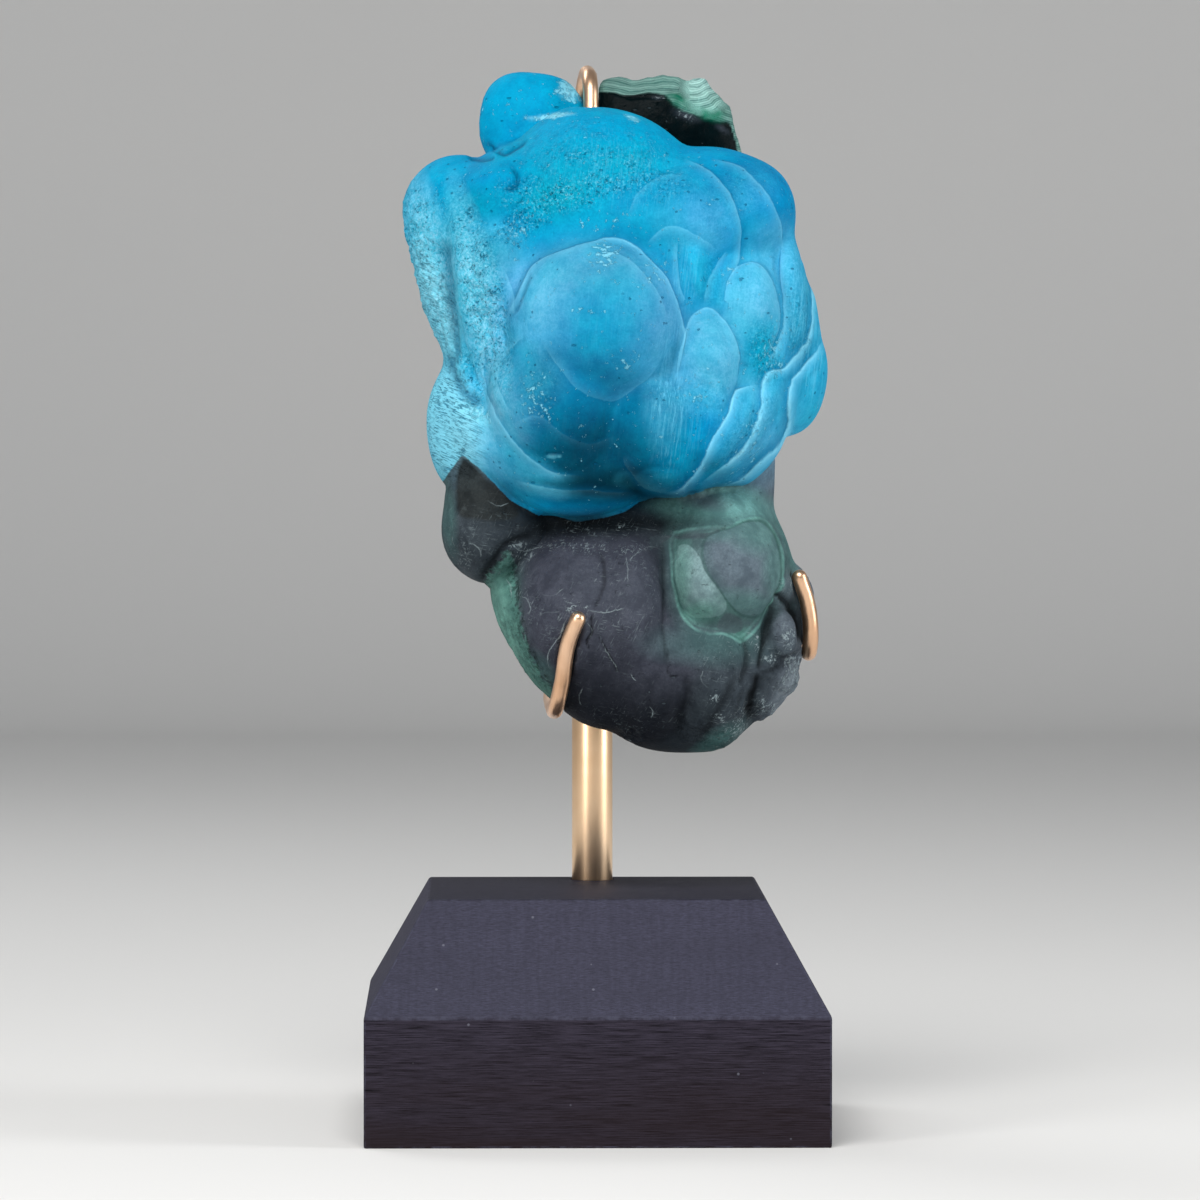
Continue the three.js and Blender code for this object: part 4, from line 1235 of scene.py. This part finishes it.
# Sharp-edged fields on the dark part, each drawn clockwise
FIELDS = {
    "halo": [
        (11.7, 91.7), (13, 92.0), (15.4, 92.2), (18.3, 92.6), (20.4, 92.7), (22.0, 93.6), (24.0, 93.9),
        (25.8, 93.5), (27.2, 91.8), (28.2, 89.1), (28.6, 86.6), (28.2, 83.4), (27.2, 80.9), (25.8, 78.8),
        (24.4, 77.2), (23.2, 75.8), (21.9, 74.7), (20.5, 75.5), (19.1, 76.2), (17.1, 76.3), (15.1, 76.8),
        (13.4, 78.5), (12.2, 80.9), (11.6, 83.6), (11.5, 87.4), (11.4, 90.2), (11.7, 91.7)],
    "crescent": [
        (12.7, 89.6), (13.9, 89.8), (15.1, 88.9), (16.1, 87.4), (16.6, 86.1), (17.8, 84.4), (19.1, 82.3),
        (19.8, 80.9), (19.5, 79.7), (18.5, 78.9), (16.6, 78.6), (14.5, 78.9), (13.0, 80.8), (12.4, 83.4),
        (12.3, 86.4), (12.5, 88.6), (12.7, 89.6)],
    "dome": [
        (16.3, 89.8), (17.4, 91.2), (20.1, 92.2), (21.7, 93.0), (23.4, 93.4), (25.2, 93.0), (26.6, 91.4),
        (27.6, 89.0), (28, 86.2), (27.4, 82.6), (26.2, 80.2), (24.6, 78.9), (22.6, 79.0), (20.6, 80.5),
        (19.1, 82.6), (17.8, 84.7), (16.8, 86.6), (16.3, 88.2), (16.3, 89.8)],
    "roof": [
        (11.8, 91.3), (14, 91.6), (17, 91.7), (18.8, 92.2), (18.4, 91.0), (15.6, 90.6), (12.6, 90.6),
        (11.8, 91.3)],
    "triangle": [
        (-20.2, 103.3), (-18.9, 102.4), (-17.2, 100.3), (-15.3, 98.6), (-12.4, 96.4), (-11.6, 94.4),
        (-13.7, 93.3), (-17.3, 93.0), (-20.4, 93.8), (-21.2, 96.4), (-21.2, 99.5), (-20.8, 101.8),
        (-20.2, 103.3)],
    "foot lobe": [
        (18.6, 78.4), (19.6, 79.4), (21, 79.2), (22.2, 78.4), (22.4, 77), (21.2, 76.2), (19.4, 76.5),
        (18.3, 77.2), (18.6, 78.4)],
    "flank": [
        (-24, 86), (-17.9, 83.4), (-16.3, 85.3), (-14.4, 87.6), (-13.3, 88.6), (-12.5, 87.6), (-12.3, 84.6),
        (-11.7, 80.8), (-10.9, 76.4), (-9.4, 71.9), (-7.7, 68.8), (-6.4, 66.9), (-12, 60), (-24, 66),
        (-24, 86)],
}
fields = {}
for name, outline in FIELDS.items():
    inside = np.full(len(points), -3.0, np.float32)
    near, off, along = beside(outline, 3.5)
    inside[near] = np.clip(off, -3, 4) * facing[near] - 3 * (1 - facing[near])
    fields[name] = inside

green_wash = strongest(1.2, (
    (24.6, 91.4, 4.4, 2.6, 20, 0.9), (27.2, 86, 1.6, 6, 0, 0.7), (23, 80.8, 4, 1.8, 10, 0.8),
    (13.2, 84, 1.4, 7, 0, 0.8), (15.4, 79.6, 3.4, 1.6, 0, 1.0), (21.6, 75.8, 1.6, 1.4, 0, 1.0),
    (20, 91.2, 3, 1, 0, 0.5),
))

# The slab: glassy and nearly black below a line, broken malachite above it
line_x = (0, 4.4, 8.2, 10.5, 12, 13.9, 15.8, 17.7, 19.6, 20.5, 21.1, 21.6)
line_z = (158.1, 158.3, 158.1, 157.7, 156.6, 155.5, 154.5, 154.1, 154.1, 153.8, 151.5, 148)
above = seen_z - np.interp(seen_x, line_x, line_z) + wander[:, 1] * 0.5
strip = np.clip(above / 0.25, 0, 1) * slab_near
green = np.clip(1.6 - np.abs(above - 0.8) / 0.9, 0, 1) * patch(15.4, 156.0, 4.6, 1.7, 22, 0.5)
green = green * slab_near * np.clip(0.75 + chips, 0.35, 1)
lens = patch(16.6, 158.2, 3.5, 2.9, 30, 0.25) * slab_near
bright = patch(16.0, 159.4, 2.2, 1.6, 25, 0.9) * lens
for name, share in (
    ("pitch", slab_near), ("grey malachite", strip), ("lens", lens * 0.8),
    ("pale malachite", bright), ("malachite", green),
):
    dark_tone = stain(dark_tone, share, name)
# Soft grey patches on the glassy black are painted reflections
for oval in (
    (13.8, 155.0, 1.8, 0.7, 20), (9.4, 157.4, 0.8, 0.3, 0), (19.2, 152.8, 1.0, 0.4, 30),
):
    dark_tone = stain(dark_tone, patch(*oval, 1.4) * slab_near * (1 - strip), "painted reflection on glass")

# Its bands lie level, or ring the pale lens. Where the rock broke elsewhere they follow its skin
rings = 0.9 * np.hypot(seen_x - 15.2, (seen_z - 160.6) * 1.2)
level_layers = seen_z + 0.35 * np.maximum(seen_x - 12, 0)
layers = np.where(
    in_slab,
    level_layers * (1 - lens) + rings * lens,
    0.6 * np.maximum(depth, 0) + 0.4 * chips,
)
broken = np.where(
    in_slab,
    strip * (0.6 + 0.4 * lens) * (1 - 0.85 * green),
    0.8 * np.clip((depth - 1.2) / 1.2, 0, 1),
)

# The dark part is in shadow under the overhang of the blue
overhang = np.exp(-np.maximum(dark_side, 0)) * patch(0, 94, 14, 8, 0, 0.7)
dark_tone *= 1 - 0.75 * overhang[:, None]

# Dust on the dark part, and painted glints in the slab's glass carried on the same marks, then
# powder on the blue
dust = strongest(0.9, (
    (-4, 89.4, 9, 1.0, 3, 0.8), (6, 89.2, 4.5, 0.8, -3, 0.8), (-11.4, 89, 2.2, 2.4, 40, 0.9),
    (22, 63, 5, 2.4, -35, 0.8), (29.5, 69, 2.6, 3, 25, 1.0), (-9.5, 80, 1.8, 5, -25, 0.6),
    (3.6, 82, 6, 8, 0, 0.4), (-18, 90, 5, 5, 0, 0.3), (0, 92, 11, 1.5, 0, 0.5),
    (27.6, 75, 2, 3, 0, 0.5), (30.1, 71.3, 1.8, 2.4, 20, 1.3), (26, 65.1, 2, 1.6, 30, 1.2),
    (21.4, 61.4, 1.4, 1.2, 0, 1.2), (17.7, 66.4, 1.3, 1.1, 0, 1.0), (24.7, 75, 0.9, 1.6, 0, 1.1),
    (29, 75.7, 0.9, 1.5, 0, 1.2), (26.7, 72.3, 1.1, 1.1, 0, 1.0), (29.1, 83.7, 1.2, 1.6, 0, 0.8),
    (18.9, 63, 1.4, 0.9, 0, 1.0), (-19.6, 88, 1.4, 2.4, 20, 0.8), (-11.6, 88.6, 2, 1.2, 20, 1.0),
    (-2.6, 80, 2.6, 1.6, 0, 0.9), (23.4, 74, 1.4, 5, 0, 0.6), (19, 71, 4, 5, 0, 0.4),
    (4, 63, 8, 2, 0, 0.3), (-4, 78, 4, 4, 0, 0.5),
))
painted_glints = np.maximum(patch(13.8, 155.0, 2.2, 0.8, 20, 0.9), patch(9.6, 157.4, 1.4, 0.4, 0, 0.9))
painted_glints = np.maximum(painted_glints, patch(3.8, 158.4, 1.2, 0.5, 0, 0.9)) * (1 - strip)
dust[in_slab] = (2.0 * painted_glints - 1)[in_slab]
powder = strongest(0.9, (
    (1.2, 133.6, 2.4, 2.0, 0, 1.0), (-9, 111.8, 2.2, 3.6, 0, 0.7), (-1.4, 125, 2.2, 0.8, 0, 0.7),
    (-4.0, 157.9, 2.2, 1.7, -20, 1.4), (-7, 154.3, 3.2, 0.5, -4, 1.2), (5.7, 154.2, 1.4, 0.5, 20, 1.0),
    (9, 131, 2, 3, 0, 0.5), (4, 118, 3, 2, 0, 0.4), (16, 113, 3, 2.6, 0, 0.5),
    (20.6, 131, 2, 3, 0, 0.5), (-12, 137, 3, 2, -30, 0.6), (-18, 110.2, 3.2, 1.0, 38, 1.0),
    (27, 119, 2, 4, 0, 0.6), (2, 138.4, 5, 2, 0, 0.4), (23, 104, 2, 6, 30, 0.4),
))


def paint(name, kind, part, values):
    """Writes values on the rock's points, under a name that its material reads."""
    rock.data.attributes.new(name, kind, "POINT")
    rock.data.attributes[name].data.foreach_set(part, values.astype(np.float32).ravel())


for name, tone in (("blue tone", blue_tone), ("dark tone", dark_tone)):
    depth_of_tone = np.clip(tone[:, 1:2] / 0.2, 0.15, 1)
    paint(name, "FLOAT_COLOR", "color", np.concatenate((tone, depth_of_tone), axis=1))
for name, values in (
    ("edge off", edge_off), ("edge pale and lit", edge_pale_and_lit),
    ("hair off", hair_off), ("hair amount", hair_amount),
):
    paint(name, "FLOAT_VECTOR", "vector", values)
MARKS = {
    "streaked": streaked, "crack far": crack_far, "crack shade": crack_shade, "crust": crust,
    "fibre": fibre, "dark side": dark_side, "dust": dust, "powder": powder,
    "green wash": green_wash, "broken": broken, "layers": layers, **fields,
}
for name, values in MARKS.items():
    paint(name, "FLOAT", "value", values)


def stone_recipe(name, gloss, shine):
    """Blue and dark mineral over the painted marks. Both parts share their clouds and their grain."""
    stone = Recipe(name)
    broad_clouds = stone.clouds(110, 4, 0.6)
    small_clouds = stone.clouds(420, 4, 0.6)
    fine_grain = stone.clouds(2600, 3, 0.7)
    ragged = stone.clouds(600, 4, 0.6) - 0.5
    lumps = stone.clouds(1150, 4, 0.72)
    shaken = stone.shaken(3300, 0.0011)

    def field(name, raggedness):
        return ragged * raggedness + stone.painted(name)

    def sheets(name):
        return stone.parts(stone.painted(name, "Vector"))

    # The blue: greener and paler in clouds, with a fine grain
    blue = stone.painted("blue tone", "Color")
    shallow = stone.painted("blue tone", "Alpha")
    crust = stone.painted("crust")
    colour = stone.blend(broad_clouds.mapped(0.42, 0.68, 0, 0.35) * shallow, blue, (6, 170, 196))
    deeper_blue = stone.blend(1.0, colour, (120, 214, 226), "MULTIPLY")
    colour = stone.blend(small_clouds.mapped(0.4, 0.65, 0, 0.5), colour, deeper_blue)
    grainy_blue = stone.blend(1.0, colour, (120, 224, 232), "MULTIPLY")
    for share in (
        fine_grain.mapped(0.38, 0.6) * crust.mapped(0, 0.5, 0.4, 0.9),
        lumps.mapped(0.5, 0.36) * crust.mapped(0, 0.5, 0.25, 0.55),
    ):
        colour = stone.blend(share, colour, grainy_blue)

    # Streaks: fine pale fibres that run down the folds between the domes
    fibres = stone.clouds(1, 4, 0.65, stone.stretch((0.0003, 0.0012, 0.0075), (0, 0.12, 0)))
    streaked = stone.painted("streaked")
    streaks = fibres.mapped(0.5, 0.66) * streaked * (shallow * 0.5)
    furrows = fibres.mapped(0.48, 0.36) * streaked * 0.35
    colour = stone.blend(streaks, colour, (104, 190, 222))
    colour = stone.blend(furrows, colour, (0, 110, 150))

    # Edges of shells: a thin pale line, a paler band that fades behind it, a darker foot before it.
    # The band is a painted highlight on the step and the foot is painted shade.
    patchy = stone.clouds(230, 3, 0.6).mapped(0.38, 0.58, 0.15, 1)
    rim_lift = 0.0
    for sheet_off, pale in zip(sheets("edge off"), sheets("edge pale and lit")):
        off = ragged * 0.5 + sheet_off
        above = off.mapped(-0.06, 0.08)
        painted_light_band = above * off.mapped(0, 1.9, 1, 0) ** 2 * pale * shallow
        line = off.line_at(0.14, 0.04, 0.3) * pale ** 2 * patchy
        painted_shade_foot = off.mapped(-1.7, 0, 0, 1) ** 2 * pale * (1 - above)
        colour = stone.blend(painted_shade_foot * 0.65, colour, (0, 92, 136))
        colour = stone.blend(painted_light_band * 0.7, colour, (116, 196, 226))
        colour = stone.blend(line * (shallow * 0.45), colour, (136, 210, 234))
        rim_lift = above * pale ** 2 + rim_lift

    # Spongy crust: pores of many sizes between pale grains, in clumps
    clumped = (small_clouds - 0.5) * 1.8 + crust
    pore_room = stone.clouds(1000, 3, 0.65).mapped(0.36, 0.62, 0.02, 0.46)
    wide_room = stone.clouds(700, 2, 0.6).mapped(0.45, 0.66, 0, 0.34)
    pores = (pore_room - stone.cells(2300, shaken)).mapped(0, 0.14)
    wide_pores = (wide_room - stone.cells(1150, shaken)).mapped(0, 0.1)
    pit_marks = pores.larger(wide_pores) * clumped.mapped(0.3, 1)
    grain_marks = stone.clouds(2300, 4, 0.75).mapped(0.53, 0.66) * clumped.mapped(0.3, 1.3, 0, 0.75)
    colour = stone.blend(grain_marks, colour, (132, 218, 234))
    colour = stone.blend(pit_marks * 0.8, colour, (0, 100, 136))

    # Threads: fine dark strokes that slope down to the right across the fibrous edge
    fibre = stone.painted("fibre")
    threads = stone.clouds(1, 3, 0.55, stone.stretch((0.0018, 0.0016, 0.00017), (0, 0.42, 0)))
    thread_marks = threads.mapped(0.52, 0.60) * fibre * small_clouds.mapped(0.4, 0.58, 0.3, 1)
    colour = stone.blend(fibre * 0.6, colour, (138, 214, 232))
    colour = stone.blend(thread_marks * 0.75, colour, (0, 104, 142))

    # Crumbs and clumps of pale powder on the smooth blue
    powder = (stone.painted("powder") * 0.16 + stone.clouds(1200, 4, 0.65)).mapped(0.65, 0.71)
    colour = stone.blend(powder * 0.6, colour, (134, 212, 234))

    # The dark part, with its ringed halo, its coal-black triangle and its green broken flank
    dark = stone.painted("dark tone", "Color")
    wash = stone.painted("green wash")
    halo, dome, flank = field("halo", 0.3), field("dome", 0.2), field("flank", 3.2)
    halo_tone = stone.blend(wash, (84, 108, 110), (84, 132, 122))
    halo_rings = halo.line_at(0.05, 0.06, 0.34, 0.8).larger(halo.line_at(0.8, 0.05, 0.3, 0.35))
    crescent_tone = stone.blend(wash, (122, 150, 152), (100, 144, 136))
    dome_tone = stone.blend(dome.mapped(0, 1.6), (80, 100, 106), (94, 108, 118))
    dome_tone = stone.blend(wash, dome_tone, (98, 136, 134))
    flank_spots = stone.clouds(1300, 3, 0.6).mapped(0.5, 0.42)
    flank_spots = flank_spots * stone.painted("flank").mapped(2.0, -0.4, 0, 1)
    flank_spots = flank_spots * stone.painted("flank").mapped(-0.9, -0.3, 0, 0.7)
    for share, tone in (
        (halo.mapped(-2, 0, 0, 0.35), (84, 122, 120)),
        (halo.mapped(-0.1, 0.1, 0, 0.95), halo_tone),
        (halo_rings * patchy, (116, 168, 160)),
        (field("roof", 0.3).mapped(-0.15, 0.25, 0, 0.75), (74, 86, 92)),
        (field("crescent", 0.2).mapped(-0.08, 0.12, 0, 0.95), crescent_tone),
        (dome.mapped(-0.05, 0.1, 0, 0.95), dome_tone),
        (field("foot lobe", 0.3).mapped(-0.1, 0.2, 0, 0.8), (82, 100, 104)),
        (dome.line_at(-0.12, 0.05, 0.3, 0.5) * halo.mapped(0, 0.6), (58, 84, 84)),
        (field("triangle", 0.5).mapped(-0.2, 0.4, 0, 0.9), (44, 48, 48)),
        (flank.mapped(-0.2, 0.3, 0, 0.85), (84, 130, 120)),
        (flank.mapped(0.7, 2.2, 0, 0.8), (110, 160, 148)),
        (flank_spots, (22, 34, 34)),
    ):
        dark = stone.blend(share, dark, tone)
    grainy_stone = stone.blend(1.0, dark, (196, 198, 202), "MULTIPLY")
    for share in (
        fine_grain.mapped(0.38, 0.6, 0, 0.5),
        small_clouds.mapped(0.42, 0.62, 0, 0.9),
        broad_clouds.mapped(0.42, 0.62, 0, 0.5),
    ):
        dark = stone.blend(share, dark, grainy_stone)

    # Dust, hair-fine scratches and pale crumbs on the dark part, which on the slab's glass are painted
    # glints
    dust = stone.painted("dust")
    level_hairs = stone.clouds(1, 3, 0.6, stone.stretch((0.0017, 0.0012, 0.00022), (0, 0.2, 0)))
    steep_hairs = stone.clouds(1, 3, 0.6, stone.stretch((0.00022, 0.0012, 0.0015), (0, 0.5, 0)))
    clusters = stone.clouds(260, 3, 0.6).mapped(0.42, 0.62, 0.15, 1)
    scratches = level_hairs.larger(steep_hairs).mapped(0.59, 0.70) * dust.mapped(-0.1, 1, 0, 1.1)
    crumb, drawn = stone.specks(800, 0.10, 0.2)
    crumbs = crumb * (drawn + dust).mapped(1.3, 1.35)
    crumb_patch = (dust * 0.1 + stone.clouds(1500, 4, 0.7)).mapped(0.64, 0.72) * dust.mapped(0.45, 1)
    dusty = (scratches * clusters).larger(crumbs.larger(crumb_patch))
    for sheet_off, amount in zip(sheets("hair off"), sheets("hair amount")):
        hair = abs(ragged * 0.8 + sheet_off).mapped(0.03, 0.11, 1, 0) * amount
        dusty = dusty.larger(hair * clusters)
    dark = stone.blend(dusty * 0.7, dark, (146, 162, 166))
    is_dark = field("dark side", 0.4).mapped(-0.1, 0.1)
    colour = stone.blend(is_dark, colour, dark)

    # Sparse small pits all over, some drawn out sideways
    round_pit, round_drawn = stone.specks(620, 0.08, 0.15)
    flat_pit, flat_drawn = stone.specks(1, 0.08, 0.13, stone.stretch((0.0034, 0.003, 0.0015)))
    pits = round_pit * round_drawn.mapped(0.62, 0.66)
    pits = pits.larger(flat_pit * flat_drawn.mapped(0.66, 0.7))
    pit_colour = stone.blend(is_dark, (0, 80, 118), (96, 112, 118))
    colour = stone.blend(pits * is_dark.mapped(0, 1, 0.5, 0.15), colour, pit_colour)

    # Broken faces show the bands that the malachite grew in
    layers = stone.clouds(150, 3, 0.55) * 0.4 + stone.painted("layers")
    bands = ((layers * 19).wave() + (layers * 6).wave()).mapped(-1.4, 1.4)
    lighter = stone.blend(0.35, dark, (184, 224, 216))
    deeper = stone.blend(0.45, dark, (20, 60, 56))
    colour = stone.blend(stone.painted("broken"), colour, stone.blend(bands, deeper, lighter))

    # Cracks and tight creases are darker than what lies round them: painted shade
    shaded_crack = field("crack far", 0.8).mapped(0.3, 1.5, 1, 0) ** 1.5 * stone.painted("crack shade")
    crack_shade_tone = stone.blend(is_dark, (0, 74, 110), (7, 9, 11))
    colour = stone.blend(shaded_crack * 0.85, colour, crack_shade_tone)

    bumps = lumps * crust.mapped(0, 0.6, 0.4, 1.3)
    for height, share in (
        (fine_grain, 0.25), (small_clouds, 0.35), (pit_marks, -0.9), (thread_marks, -0.9),
        (powder, 0.5), (pits, -0.8), (dusty, 0.15), (flank_spots, -0.5), (rim_lift, 0.9), (shaded_crack, -0.8),
    ):
        bumps = height * share + bumps
    return stone.finish(
        bumps, 0.00022, Base_Color=colour, Roughness=gloss, Specular_IOR_Level=shine
    )


rock.data.materials.append(stone_recipe("blue and dark mineral", 0.62, 0.03))
rock.data.materials.append(stone_recipe("glassy black mineral", 0.34, 0.04))
glassy = slab_near * (1 - strip) > 0.5
for face in rock.data.polygons:
    face.material_index = int(all(glassy[index] for index in face.vertices))
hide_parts("specimen")
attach(rock, "root")
